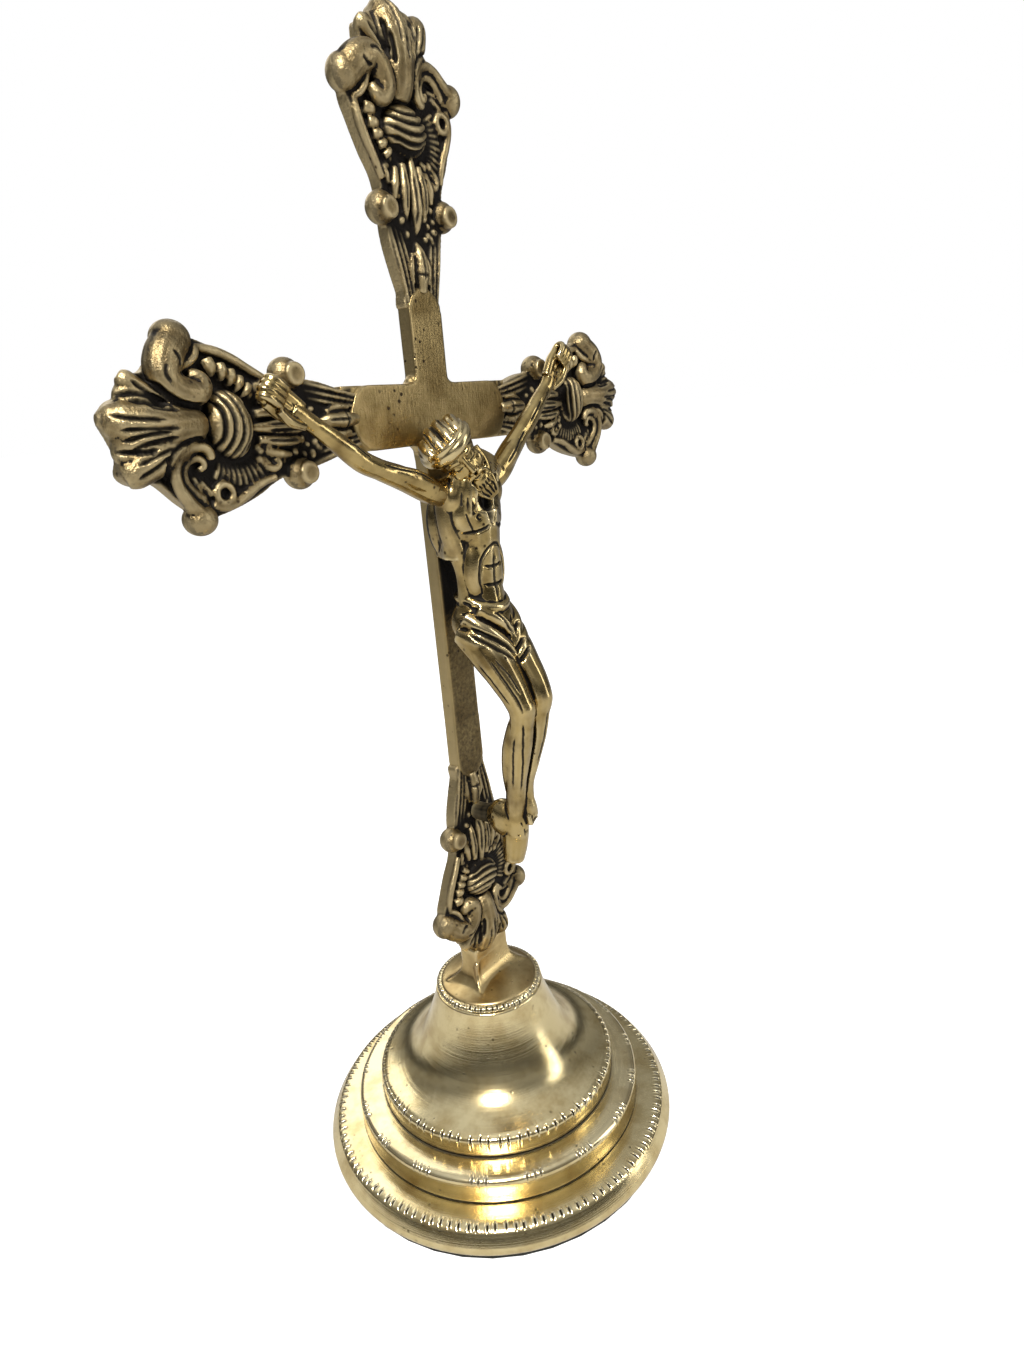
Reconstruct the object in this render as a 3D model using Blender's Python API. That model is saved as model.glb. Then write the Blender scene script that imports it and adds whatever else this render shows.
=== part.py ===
"""Altar cross: a cast-brass crucifix standing on a turned base of three tiers.

Frame: +Z up, the arms of the cross run along X, the figure faces -Y, and the origin is the
middle of the underside. The lengths below are millimetres and MM turns them into metres.
"""
import math

import bmesh
import bpy
from mathutils import Matrix, Vector

MM = 0.001
GAP = 0.3                 # clearance between two pieces that touch

# Base tiers: outer radius, height of each tier and wall
FELT_THICK = 0.9
FELT_WIDTH = 6.5
PLINTH_RADIUS = 54.6
PLINTH_HEIGHT = 8.1
MIDDLE_RADIUS = 44.4
MIDDLE_HEIGHT = 7.7
BELL_FOOT_RADIUS = 36.8
BELL_TOP_RADIUS = 16.3
BELL_HEIGHT = 33.7
TIER_WALL = 2.0           # side walls of the three shells
TIER_WEB = 1.6            # flat tops of the three shells
SPIGOT_HEIGHT = 1.4       # ring inside each joint that centres the tier above
TURN_STEPS = 40

# Fasteners
ROD_DIAMETER = 4.0
ROD_THREAD_DEPTH = 5.4    # length of rod inside the stem
NUT_ACROSS_CORNERS = 8.0
NUT_HEIGHT = 3.2
WASHER_DIAMETER = 16.0
WASHER_THICK = 1.0
SCREW_DIAMETER = 2.4
SCREW_HEAD_DIAMETER = 5.6
SCREW_HEAD_HEIGHT = 1.6

# Stem between the base and the cross
STEM_VISIBLE = 9.5        # bell top to the lowest tip of the cross
STEM_HALF_WIDTH = 8.2
STEM_FOOT_RADIUS = 13.4
TONGUE_HALF_WIDTH = 6.4
TONGUE_THICK = 2.6
TONGUE_LENGTH = 34.0      # lap behind the lowest ornament

# Cross casting
PLATE_THICK = 4.0
ARM_REACH = 85.7          # crossing centre to the tip of each side arm
UPPER_REACH = 87.0
LOWER_REACH = 157.2
ARM_HALF_HEIGHT = 7.25
UPPER_HALF_WIDTH = 5.5
LOWER_HALF_WIDTH = 5.25
CROSSING_HALF_WIDTH = 7.2
TERMINAL_LENGTH = 59.2    # tip of an ornament to the step of the plain face

# Figure
FIGURE_SCALE = 1.0
VOXEL = 1.5               # skin resolution of the figure's solids
SHOULDER_X = 9.4          # plane where the arms are brazed to the body

# Heights worked out from the stack
FELT_TOP = FELT_THICK
PLINTH_FOOT = FELT_TOP + GAP
PLINTH_TOP = PLINTH_FOOT + PLINTH_HEIGHT
MIDDLE_FOOT = PLINTH_TOP + GAP
MIDDLE_TOP = MIDDLE_FOOT + MIDDLE_HEIGHT
BELL_FOOT = MIDDLE_TOP + GAP
BELL_TOP = BELL_FOOT + BELL_HEIGHT
STEM_FOOT = BELL_TOP + GAP
CROSS_FOOT = BELL_TOP + STEM_VISIBLE
CROSSING_Z = CROSS_FOOT + LOWER_REACH
PLATE_FRONT = -PLATE_THICK / 2
PLATE_BACK = PLATE_THICK / 2
TONGUE_FRONT = PLATE_BACK + GAP
TONGUE_BACK = TONGUE_FRONT + TONGUE_THICK
HOLE_RADIUS = ROD_DIAMETER / 2 + GAP


# ---------------------------------------------------------------- helpers

def clear_scene():
    for old in list(bpy.data.objects):
        bpy.data.objects.remove(old, do_unlink=True)


def material(name, colour, roughness, metallic):
    made = bpy.data.materials.new(name)
    made.use_nodes = True
    shader = made.node_tree.nodes["Principled BSDF"]
    shader.inputs["Base Color"].default_value = (*colour, 1.0)
    shader.inputs["Roughness"].default_value = roughness
    shader.inputs["Metallic"].default_value = metallic
    return made


def add_object(name, bm, mat, smooth=40.0):
    """Turn a millimetre bmesh into a scene object in metres."""
    bmesh.ops.transform(bm, matrix=Matrix.Scale(MM, 4), verts=bm.verts)
    bmesh.ops.recalc_face_normals(bm, faces=bm.faces)
    mesh = bpy.data.meshes.new(name)
    bm.to_mesh(mesh)
    bm.free()
    mesh.shade_smooth()
    mesh.set_sharp_from_angle(angle=math.radians(smooth))
    mesh.materials.append(mat)
    made = bpy.data.objects.new(name, mesh)
    bpy.context.scene.collection.objects.link(made)
    return made


def as_cutter(obj):
    obj.hide_render = True
    obj.display_type = "WIRE"
    return obj


def boolean(obj, other, operation, self_union=False):
    mod = obj.modifiers.new(operation.lower(), "BOOLEAN")
    mod.operation = operation
    mod.solver = "EXACT"
    mod.use_self = self_union
    mod.object = as_cutter(other)


def turned(profile, steps=TURN_STEPS):
    """Spin a closed (radius, height) outline that keeps clear of the axis."""
    bm = bmesh.new()
    verts = [bm.verts.new((r, 0.0, z)) for r, z in profile]
    edges = [bm.edges.new((verts[i - 1], verts[i])) for i in range(len(verts))]
    bmesh.ops.spin(bm, geom=verts + edges, cent=(0, 0, 0), axis=(0, 0, 1),
                   dvec=(0, 0, 0), angle=math.tau, steps=steps, use_merge=True)
    bmesh.ops.remove_doubles(bm, verts=bm.verts, dist=0.01)
    return bm


def arc(cx, cz, rx, rz, start, end, count):
    """Points of a quarter round or cove, angles in degrees, both ends included."""
    angles = [start + (end - start) * i / (count - 1) for i in range(count)]
    return [(cx + rx * math.cos(math.radians(a)), cz + rz * math.sin(math.radians(a))) for a in angles]


def add_bar(bm, start, end, radius_start, radius_end, segments=12):
    """Round bar or cone between two points."""
    start, end = Vector(start), Vector(end)
    along = end - start
    turn = along.to_track_quat("Z", "Y").to_matrix().to_4x4()
    place = Matrix.Translation((start + end) / 2) @ turn
    bmesh.ops.create_cone(bm, cap_ends=True, segments=segments, radius1=radius_start,
                          radius2=radius_end, depth=along.length, matrix=place)


def add_ball(bm, centre, size, turn=None, segments=12):
    """Ellipsoid with three half sizes, turned by an optional matrix."""
    sizes = (size, size, size) if isinstance(size, (int, float)) else size
    spin = turn.to_4x4() if turn else Matrix.Identity(4)
    place = Matrix.Translation(centre) @ spin @ Matrix.Diagonal((*sizes, 1.0))
    bmesh.ops.create_uvsphere(bm, u_segments=segments, v_segments=segments // 2 + 1,
                              radius=1.0, matrix=place)


def add_limb(bm, points):
    """Chain of (point, radius): rounded joints with cones between them."""
    for centre, radius in points:
        add_ball(bm, centre, radius)
    for (start, r_start), (end, r_end) in zip(points, points[1:]):
        add_bar(bm, start, end, r_start, r_end)


def pin_along_y(y_front, y_back, radius, x=0.0, z=0.0, segments=16):
    bm = bmesh.new()
    add_bar(bm, (x, y_back, z), (x, y_front, z), radius, radius, segments)
    return bm


def box(low, high):
    bm = bmesh.new()
    size = Vector(high) - Vector(low)
    centre = (Vector(high) + Vector(low)) / 2
    place = Matrix.Translation(centre) @ Matrix.Diagonal((*size, 1.0))
    bmesh.ops.create_cube(bm, size=1.0, matrix=place)
    return bm


# ---------------------------------------------------------------- base

def shell_inside(inner_radius, foot_z, web_z, hole=HOLE_RADIUS):
    """Inner side of a hollow tier, from the wall's foot up and in to the centre hole."""
    return [(inner_radius, foot_z), (inner_radius, web_z - 1.0), (inner_radius - 1.0, web_z), (hole, web_z)]


def spigot(outer_radius, top_z):
    """Raised ring that centres the tier above, from the inside out."""
    inner = outer_radius - TIER_WALL
    lift = top_z + SPIGOT_HEIGHT
    return [(inner, top_z), (inner, lift), (outer_radius - 0.3, lift), (outer_radius, lift - 0.3), (outer_radius, top_z)]


def build_felt(mat):
    outer = PLINTH_RADIUS - 1.6
    inner = outer - FELT_WIDTH
    add_object("base_felt", turned([(inner, 0.0), (inner, FELT_TOP), (outer, FELT_TOP), (outer, 0.0)]), mat)


def build_plinth(mat):
    radius, foot, top = PLINTH_RADIUS, PLINTH_FOOT, PLINTH_TOP
    roll = arc(radius - 2.6, foot + 2.6, 2.6, 2.6, -65, 20, 5)
    shoulder = arc(radius - 4.0, top - 2.0, 2.4, 1.7, 10, 90, 4)
    wall = radius - TIER_WALL - 1.4
    outline = shell_inside(wall, foot, top - TIER_WEB)
    outline += [(HOLE_RADIUS, top)]
    outline += spigot(MIDDLE_RADIUS - TIER_WALL - GAP, top)
    outline += list(reversed(shoulder)) + list(reversed(roll))
    add_object("plinth", turned(outline), mat)


def build_middle_tier(mat):
    radius, foot, top = MIDDLE_RADIUS, MIDDLE_FOOT, MIDDLE_TOP
    shoulder = arc(radius - 2.2, top - 1.9, 2.2, 1.9, 0, 90, 4)
    outline = shell_inside(radius - TIER_WALL, foot, top - TIER_WEB)
    outline += [(HOLE_RADIUS, top)]
    outline += spigot(BELL_FOOT_RADIUS - TIER_WALL - GAP, top)
    outline += list(reversed(shoulder)) + [(radius, foot)]
    add_object("middle_tier", turned(outline), mat)


def bell_curve(foot_radius, top_radius, foot_z, top_z, count):
    """Trumpet side of the bell from the top down, as a power curve."""
    points = []
    for i in range(count):
        t = i / (count - 1)
        radius = top_radius + (foot_radius - top_radius) * t
        drop = 1.0 - (1.0 - t) ** 2.1
        points.append((radius, top_z + (foot_z - top_z) * drop))
    return points


def build_bell(mat):
    foot, top = BELL_FOOT, BELL_TOP
    lip = arc(BELL_FOOT_RADIUS - 1.6, foot + 4.4, 1.6, 1.4, 90, 0, 3)
    crown = arc(BELL_TOP_RADIUS - 1.3, top - 1.3, 1.3, 1.3, 90, 0, 3)
    side = bell_curve(BELL_FOOT_RADIUS - 1.6, BELL_TOP_RADIUS, foot + 5.8, top - 1.3, 9)
    inner_wall = BELL_FOOT_RADIUS - TIER_WALL
    inner_side = bell_curve(inner_wall - 1.4, BELL_TOP_RADIUS - TIER_WALL - 0.4, foot + 3.4, top - TIER_WEB - 1.0, 7)
    outline = [(inner_wall, foot), (inner_wall, foot + 2.4)]
    outline += list(reversed(inner_side))
    outline += [(BELL_TOP_RADIUS - TIER_WALL - 1.6, top - TIER_WEB), (HOLE_RADIUS, top - TIER_WEB)]
    outline += [(HOLE_RADIUS, top)]
    outline += crown[:-1] + side[:-1] + lip + [(BELL_FOOT_RADIUS, foot)]
    add_object("bell", turned(outline), mat)


# ---------------------------------------------------------------- fasteners

def build_rod(mat):
    bottom = PLINTH_TOP - TIER_WEB - GAP - WASHER_THICK - GAP - NUT_HEIGHT - 0.6
    bm = bmesh.new()
    add_bar(bm, (0, 0, bottom), (0, 0, STEM_FOOT + ROD_THREAD_DEPTH), ROD_DIAMETER / 2, ROD_DIAMETER / 2, 16)
    add_object("tie_rod", bm, mat)


def ring_outline(inner, outer, low, high):
    return [(inner, low), (inner, high), (outer, high), (outer, low)]


def build_washer_and_nut(mat):
    washer_top = PLINTH_TOP - TIER_WEB - GAP
    washer = ring_outline(HOLE_RADIUS, WASHER_DIAMETER / 2, washer_top - WASHER_THICK, washer_top)
    add_object("rod_washer", turned(washer, 24), mat)
    nut_top = washer_top - WASHER_THICK - GAP
    corner_hole = HOLE_RADIUS / math.cos(math.radians(30))
    nut = ring_outline(corner_hole, NUT_ACROSS_CORNERS / 2, nut_top - NUT_HEIGHT, nut_top)
    add_object("rod_nut", turned(nut, 6), mat, smooth=20.0)


def build_screw(name, z, head_face, tip_y, mat):
    """Pan-head screw that goes in from the back towards -Y."""
    shank = pin_along_y(tip_y, head_face, SCREW_DIAMETER / 2, z=z)
    screw = add_object(name, shank, mat)
    head = pin_along_y(head_face - 0.1, head_face + SCREW_HEAD_HEIGHT, SCREW_HEAD_DIAMETER / 2, z=z)
    boolean(screw, add_object(name + "_head", head, mat), "UNION")


def drill(obj, label, z, y_front, y_back):
    """Clearance hole for one screw."""
    hole = pin_along_y(y_front, y_back, SCREW_DIAMETER / 2 + GAP, z=z)
    boolean(obj, add_object(label, hole, obj.data.materials[0]), "DIFFERENCE")


UPPER_SCREW_Z = CROSSING_Z - 27.0 * FIGURE_SCALE
FOOT_SCREW_Z = CROSSING_Z - 108.5 * FIGURE_SCALE
STEM_SCREWS_Z = (CROSS_FOOT + 12.0, CROSS_FOOT + 26.0)
FIGURE_SCREW_TIP = PLATE_FRONT - 5.0
LUG_RADIUS = 3.8
SPOT_FACE = 0.2           # depth of the seat milled into the plate for the foot lug
STEM_SCREW_TIP = PLATE_FRONT + 1.2


# ---------------------------------------------------------------- stem

def stem_section(z, half_width, half_depth, centre_y, power, count=32):
    """Rounded-rectangle ring; power 2 is an ellipse and a high power a rectangle."""
    ring = []
    for i in range(count):
        angle = math.tau * i / count
        c, s = math.cos(angle), math.sin(angle)
        x = half_width * math.copysign(abs(c) ** (2 / power), c)
        y = half_depth * math.copysign(abs(s) ** (2 / power), s)
        ring.append((x, centre_y + y, z))
    return ring


def loft(rings):
    bm = bmesh.new()
    loops = [[bm.verts.new(p) for p in ring] for ring in rings]
    for low, high in zip(loops, loops[1:]):
        for i in range(len(low)):
            bm.faces.new((low[i - 1], low[i], high[i], high[i - 1]))
    bm.faces.new(list(reversed(loops[0])))
    bm.faces.new(loops[-1])
    return bm


def build_stem(mat):
    front, back = PLATE_FRONT, TONGUE_BACK
    centre = (front + back) / 2
    depth = (back - front) / 2
    rings = [stem_section(STEM_FOOT, STEM_FOOT_RADIUS, STEM_FOOT_RADIUS, 0.0, 2.0)]
    rings.append(stem_section(STEM_FOOT + 0.5, STEM_FOOT_RADIUS - 0.9, STEM_FOOT_RADIUS - 1.6, 0.2, 2.0))
    steps = 5
    body_top = CROSS_FOOT - GAP
    for i in range(1, steps + 1):
        t = i / steps
        z = STEM_FOOT + 0.5 + (body_top - STEM_FOOT - 0.5) * t
        fade = (1.0 - t) ** 2.2
        wide = STEM_HALF_WIDTH + (STEM_FOOT_RADIUS - 0.9 - STEM_HALF_WIDTH) * fade
        deep = depth + (STEM_FOOT_RADIUS - 1.6 - depth) * fade
        rings.append(stem_section(z, wide, deep, centre * (1.0 - fade), 2.0 + 10.0 * t))
    stem = add_object("stem", loft(rings), mat)
    tongue = box((-TONGUE_HALF_WIDTH, TONGUE_FRONT, body_top - 1.0),
                 (TONGUE_HALF_WIDTH, TONGUE_BACK - 0.1, CROSS_FOOT + TONGUE_LENGTH))
    boolean(stem, add_object("stem_tongue", tongue, mat), "UNION")
    bore = bmesh.new()
    add_bar(bore, (0, 0, STEM_FOOT - 1), (0, 0, STEM_FOOT + ROD_THREAD_DEPTH + GAP), HOLE_RADIUS, HOLE_RADIUS, 16)
    boolean(stem, add_object("stem_bore", bore, mat), "DIFFERENCE")
    for i, z in enumerate(STEM_SCREWS_Z):
        drill(stem, "stem_hole_" + str(i), z, TONGUE_FRONT - 1, TONGUE_BACK + 1)


# ---------------------------------------------------------------- cross

def terminal_outline():
    """Edge of one ornament: distance out from the plain face, and distance across."""
    lower = [(-1.0, -7.2), (4.0, -8.3), (11.0, -9.2), (21.8, -10.9), (28.2, -13.6), (36.5, -15.6), (42.5, -15.6)]
    lower += [(45.6, -12.0), (50.5, -10.6), (54.6, -9.8), (57.6, -7.6), (56.2, -3.4)]
    tip = [(58.0, 0.6), (TERMINAL_LENGTH, 3.8), (57.0, 6.4), (53.2, 7.5)]
    upper = [(52.4, 11.6), (47.7, 11.9), (43.0, 15.0), (36.0, 16.6), (27.7, 13.7), (21.9, 9.9), (11.0, 9.8)]
    upper += [(4.0, 8.2), (-1.0, 7.2)]
    return lower + tip + upper


def terminal_lumps():
    """Rounded masses of one ornament: (out, across), half sizes (out, across), rise above the face."""
    lumps = [((15.7, 10.9), (3.4, 3.4), 1.6), ((15.7, -10.9), (3.4, 3.4), 1.6)]
    lumps += [((40.1, 18.3), (3.3, 3.1), 1.6), ((41.1, -17.0), (3.3, 3.1), 1.6)]
    lumps += [((33.5, 0.7), (5.8, 7.2), 3.4), ((42.2, -6.3), (4.2, 4.6), 2.2), ((47.1, 10.4), (3.8, 3.0), 1.8)]
    lumps += [((51.8, 3.0), (6.2, 2.6), 1.8), ((51.5, -5.6), (4.8, 2.6), 1.6), ((9.0, 0.0), (6.5, 3.4), 1.4)]
    lumps += [((21.0, 0.0), (5.0, 3.4), 1.6), ((25.0, 9.0), (5.5, 2.6), 1.6), ((25.0, -9.0), (5.5, 2.6), 1.6)]
    return lumps


def arms_of_cross():
    """(outward direction, direction to the hooked side, reach, half width, mirrored)"""
    return [
        (Vector((1, 0, 0)), Vector((0, 0, 1)), ARM_REACH, ARM_HALF_HEIGHT, False),
        (Vector((0, 0, 1)), Vector((-1, 0, 0)), UPPER_REACH, UPPER_HALF_WIDTH, False),
        (Vector((-1, 0, 0)), Vector((0, 0, 1)), ARM_REACH, ARM_HALF_HEIGHT, True),
        (Vector((0, 0, -1)), Vector((-1, 0, 0)), LOWER_REACH, LOWER_HALF_WIDTH, True),
    ]


def corner_points(arm):
    """Inner corner of the cross that follows an arm, going round with +X first."""
    half, arm_edge = CROSSING_HALF_WIDTH, ARM_HALF_HEIGHT
    upper = [(half + 1.6, arm_edge), (half - 0.4, arm_edge + 1.2), (UPPER_HALF_WIDTH + 0.4, arm_edge + 6.0)]
    lower = [(LOWER_HALF_WIDTH + 0.4, -arm_edge - 5.0), (half - 0.6, -arm_edge - 1.0), (half + 1.2, -arm_edge)]
    left_upper = [(-x, z) for x, z in reversed(upper)]
    left_lower = [(-x, z) for x, z in reversed(lower)]
    return (upper, left_upper, left_lower, lower)[arm]


def build_cross(mat):
    centre = Vector((0, 0, CROSSING_Z))
    bm = bmesh.new()
    outline = []
    lumps = bmesh.new()
    for number, (out, hook, reach, half_width, mirrored) in enumerate(arms_of_cross()):
        start = reach - TERMINAL_LENGTH
        points = []
        for along, across in terminal_outline():
            shrink = half_width / 7.25 if along <= 0 else 1.0
            points.append(centre + out * (start + along) + hook * across * shrink)
        outline += list(reversed(points)) if mirrored else points
        outline += [centre + Vector((x, 0, z)) for x, z in corner_points(number)]
        for (along, across), (s_out, s_across), rise in terminal_lumps():
            place = centre + out * (start + along) + hook * across
            turn = Matrix((out, hook, Vector((0, 1, 0)))).transposed()
            add_ball(lumps, place, (s_out, s_across, PLATE_THICK / 2 + rise), turn, 8)
    front = [bm.verts.new((p.x, PLATE_FRONT, p.z)) for p in outline]
    face = bm.faces.new(front)
    pushed = bmesh.ops.extrude_face_region(bm, geom=[face])["geom"]
    moved = [v for v in pushed if isinstance(v, bmesh.types.BMVert)]
    bmesh.ops.translate(bm, verts=moved, vec=(0, PLATE_THICK, 0))
    cross = add_object("cross", bm, mat, smooth=30.0)
    boolean(cross, add_object("cross_lumps", lumps, mat), "UNION", self_union=True)
    flat_back = box((-ARM_REACH - 5, PLATE_BACK, CROSS_FOOT - 5),
                    (ARM_REACH + 5, PLATE_BACK + 9, CROSSING_Z + UPPER_REACH + 5))
    boolean(cross, add_object("cross_flat_back", flat_back, mat), "DIFFERENCE")
    seat_radius = LUG_RADIUS * FIGURE_SCALE + 2 * GAP
    lug_seat = pin_along_y(PLATE_FRONT - 20, PLATE_FRONT + SPOT_FACE, seat_radius, z=FOOT_SCREW_Z)
    boolean(cross, add_object("cross_lug_seat", lug_seat, mat), "DIFFERENCE")
    for label, z in (("cross_hole_upper", UPPER_SCREW_Z), ("cross_hole_foot", FOOT_SCREW_Z)):
        drill(cross, label, z, PLATE_FRONT - 8, PLATE_BACK + 8)
    for i, z in enumerate(STEM_SCREWS_Z):
        drill(cross, "cross_stem_hole_" + str(i), z, STEM_SCREW_TIP - GAP, PLATE_BACK + 1)


# ---------------------------------------------------------------- figure

def on_cross(x, y, z):
    """A point of the figure: y from the middle of the plate, z from the crossing."""
    return (x * FIGURE_SCALE, PLATE_FRONT + (y + 2.0) * FIGURE_SCALE, CROSSING_Z + z * FIGURE_SCALE)


def chain(points):
    return [(on_cross(*point), radius * FIGURE_SCALE) for point, radius in points]


def body_masses(bm):
    """Head, trunk, legs and foot rest as rounded masses."""
    scale = FIGURE_SCALE
    add_ball(bm, on_cross(-4.4, -12.8, -9.0), (7.6 * scale, 7.6 * scale, 8.2 * scale))
    add_ball(bm, on_cross(-0.8, -16.4, -18.6), (4.4 * scale, 4.0 * scale, 5.8 * scale))
    add_limb(bm, chain([((0, -11.0, -14.0), 4.6), ((0, -10.0, -19.0), 4.4)]))
    add_ball(bm, on_cross(0, -10.4, -25.5), (9.4 * scale, 6.6 * scale, 8.6 * scale))
    add_limb(bm, chain([((0, -10.8, -26), 7.0), ((0, -11.4, -33), 6.6), ((0, -11.8, -43), 5.5), ((0, -11.4, -51), 7.2)]))
    add_ball(bm, on_cross(0, -11.0, -51.0), (9.0 * scale, 7.6 * scale, 7.4 * scale))
    add_limb(bm, chain([((-12, -9.6, -17.8), 3.2), ((-6, -10, -20.0), 4.4), ((6, -10, -20.0), 4.4), ((12, -9.8, -16.6), 3.2)]))
    add_limb(bm, chain([((-4.0, -12, -54.5), 6.0), ((-4.0, -20.0, -66), 4.9), ((-3.6, -25.0, -74.0), 3.9),
                        ((-3.0, -21.6, -84), 3.7), ((-1.6, -18.4, -99.0), 2.6), ((-0.8, -19.0, -109.0), 2.3)]))
    add_limb(bm, chain([((4.0, -12, -54.5), 6.0), ((4.2, -20.5, -65), 4.8), ((4.2, -26.0, -72.2), 3.8),
                        ((3.6, -23.0, -83), 3.6), ((2.6, -19.0, -98.0), 2.6), ((1.8, -21.5, -105.0), 2.3)]))
    add_limb(bm, chain([((0.6, -15.5, -106.0), 4.4), ((0.4, -15.0, -113.5), 4.2), ((0.2, -14.2, -120.5), 3.2)]))


def boss_masses(bm):
    """Boss behind the upper back and lug behind the feet; both run into the plate."""
    add_limb(bm, chain([((0, -8.0, -22.0), 4.4), ((0, 1.0, -22.0), 4.6)]))
    add_limb(bm, chain([((0, -8.0, -31.0), 4.4), ((0, 1.0, -33.0), 4.4)]))
    add_limb(bm, chain([((0.4, -14.0, -108.5), LUG_RADIUS), ((0, 1.0, -108.5), LUG_RADIUS)]))


def skin(obj):
    """Fuse the masses into one casting."""
    remesh = obj.modifiers.new("skin", "REMESH")
    remesh.mode = "VOXEL"
    remesh.voxel_size = VOXEL * MM
    remesh.use_smooth_shade = True
    thin = obj.modifiers.new("thin", "DECIMATE")
    thin.ratio = 0.4


def plane_cutter(name, low, high, mat):
    return add_object(name, box(low, high), mat)


def build_body(mat):
    bm = bmesh.new()
    body_masses(bm)
    boss_masses(bm)
    body = add_object("corpus_body", bm, mat)
    skin(body)
    top, bottom = CROSSING_Z + 60, CROSSING_Z - 160 * FIGURE_SCALE
    behind = plane_cutter("body_back_cut", (-60, PLATE_FRONT - GAP, bottom), (60, PLATE_BACK + 30, top), mat)
    boolean(body, behind, "DIFFERENCE")
    side = (SHOULDER_X - GAP / 2) * FIGURE_SCALE
    for sign, label in ((-1, "right"), (1, "left")):
        low = (min(sign * side, sign * 70), -60, CROSSING_Z - 40 * FIGURE_SCALE)
        high = (max(sign * side, sign * 70), 40, top)
        boolean(body, plane_cutter("body_cut_" + label, low, high, mat), "DIFFERENCE")
    drill(body, "body_hole_upper", UPPER_SCREW_Z, FIGURE_SCREW_TIP - GAP, PLATE_BACK)
    drill(body, "body_hole_foot", FOOT_SCREW_Z, FIGURE_SCREW_TIP - GAP, PLATE_BACK)


def build_arm(name, points, hand, sign, mat):
    """One arm, from inside the shoulder joint to the hand."""
    bm = bmesh.new()
    add_limb(bm, chain(points))
    place, size, tilt = hand
    turn = Matrix.Rotation(math.radians(tilt), 3, "Y")
    add_ball(bm, on_cross(*place), tuple(s * FIGURE_SCALE for s in size), turn)
    arm = add_object(name, bm, mat)
    skin(arm)
    side = (SHOULDER_X + GAP / 2) * FIGURE_SCALE
    low = (min(sign * side, -sign * 60), -60, CROSSING_Z - 60)
    high = (max(sign * side, -sign * 60), 40, CROSSING_Z + 60)
    boolean(arm, plane_cutter(name + "_shoulder", low, high, mat), "DIFFERENCE")
    low = (-80, PLATE_FRONT - GAP, CROSSING_Z - 60)
    high = (80, PLATE_BACK + 30, CROSSING_Z + 60)
    boolean(arm, plane_cutter(name + "_back", low, high, mat), "DIFFERENCE")


def build_arms(mat):
    right = [((-6, -9.8, -20.0), 4.4), ((-12, -9.6, -17.8), 3.5), ((-22, -9.4, -13.4), 3.0), ((-33, -9.2, -8.7), 2.6),
             ((-39, -8.6, -4.0), 2.4), ((-45.0, -7.8, 0.6), 2.0)]
    left = [((6, -9.8, -20.0), 4.4), ((12, -9.8, -16.2), 3.5), ((19, -9.6, -10.6), 3.0), ((26, -9.3, -5.4), 2.7),
            ((33, -8.8, 0.4), 2.4), ((38.8, -8.0, 4.8), 2.0)]
    build_arm("corpus_right_arm", right, ((-50.0, -7.6, 3.6), (6.2, 2.8, 4.0), 35), -1, mat)
    build_arm("corpus_left_arm", left, ((42.8, -7.8, 8.6), (6.0, 2.8, 3.6), -50), 1, mat)


# ---------------------------------------------------------------- assembly

def build():
    clear_scene()
    polished = material("polished_brass", (0.72, 0.52, 0.22), 0.22, 1.0)
    antique = material("antique_brass", (0.45, 0.33, 0.14), 0.38, 1.0)
    figure = material("figure_brass", (0.60, 0.45, 0.22), 0.34, 1.0)
    felt = material("black_baize", (0.02, 0.02, 0.02), 0.95, 0.0)
    steel = material("zinc_steel", (0.55, 0.55, 0.56), 0.4, 1.0)
    build_felt(felt)
    build_plinth(polished)
    build_middle_tier(polished)
    build_bell(polished)
    build_stem(polished)
    build_rod(steel)
    build_washer_and_nut(steel)
    build_cross(antique)
    build_body(figure)
    build_arms(figure)
    build_screw("corpus_upper_screw", UPPER_SCREW_Z, PLATE_BACK + GAP, FIGURE_SCREW_TIP, steel)
    build_screw("corpus_foot_screw", FOOT_SCREW_Z, PLATE_BACK + GAP, FIGURE_SCREW_TIP, steel)
    build_screw("stem_screw_lower", STEM_SCREWS_Z[0], TONGUE_BACK + GAP, STEM_SCREW_TIP, steel)
    build_screw("stem_screw_upper", STEM_SCREWS_Z[1], TONGUE_BACK + GAP, STEM_SCREW_TIP, steel)


build()
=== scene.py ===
"""Altar cross in cast brass: turned base with chiselled rings, scrolled ornaments and figure."""
import math
import random

import bmesh
import bpy
import numpy as np
from mathutils import Matrix, Quaternion, Vector


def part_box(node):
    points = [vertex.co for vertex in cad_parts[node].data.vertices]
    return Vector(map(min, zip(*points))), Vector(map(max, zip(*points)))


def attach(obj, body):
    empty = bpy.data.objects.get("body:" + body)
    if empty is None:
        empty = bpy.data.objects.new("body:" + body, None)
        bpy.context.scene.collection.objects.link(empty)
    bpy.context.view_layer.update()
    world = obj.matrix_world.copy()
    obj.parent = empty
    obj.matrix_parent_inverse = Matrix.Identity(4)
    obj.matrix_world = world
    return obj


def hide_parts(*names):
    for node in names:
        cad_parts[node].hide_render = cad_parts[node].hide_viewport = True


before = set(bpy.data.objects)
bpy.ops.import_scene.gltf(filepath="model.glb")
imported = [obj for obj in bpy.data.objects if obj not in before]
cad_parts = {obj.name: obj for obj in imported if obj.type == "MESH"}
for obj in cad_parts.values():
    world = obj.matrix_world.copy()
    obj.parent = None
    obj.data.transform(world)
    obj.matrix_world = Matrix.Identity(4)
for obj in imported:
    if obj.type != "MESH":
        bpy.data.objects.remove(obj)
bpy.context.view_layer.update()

MM = 0.001
BODY = "root"


# ---------------------------------------------------------------- places taken from the frame

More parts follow.
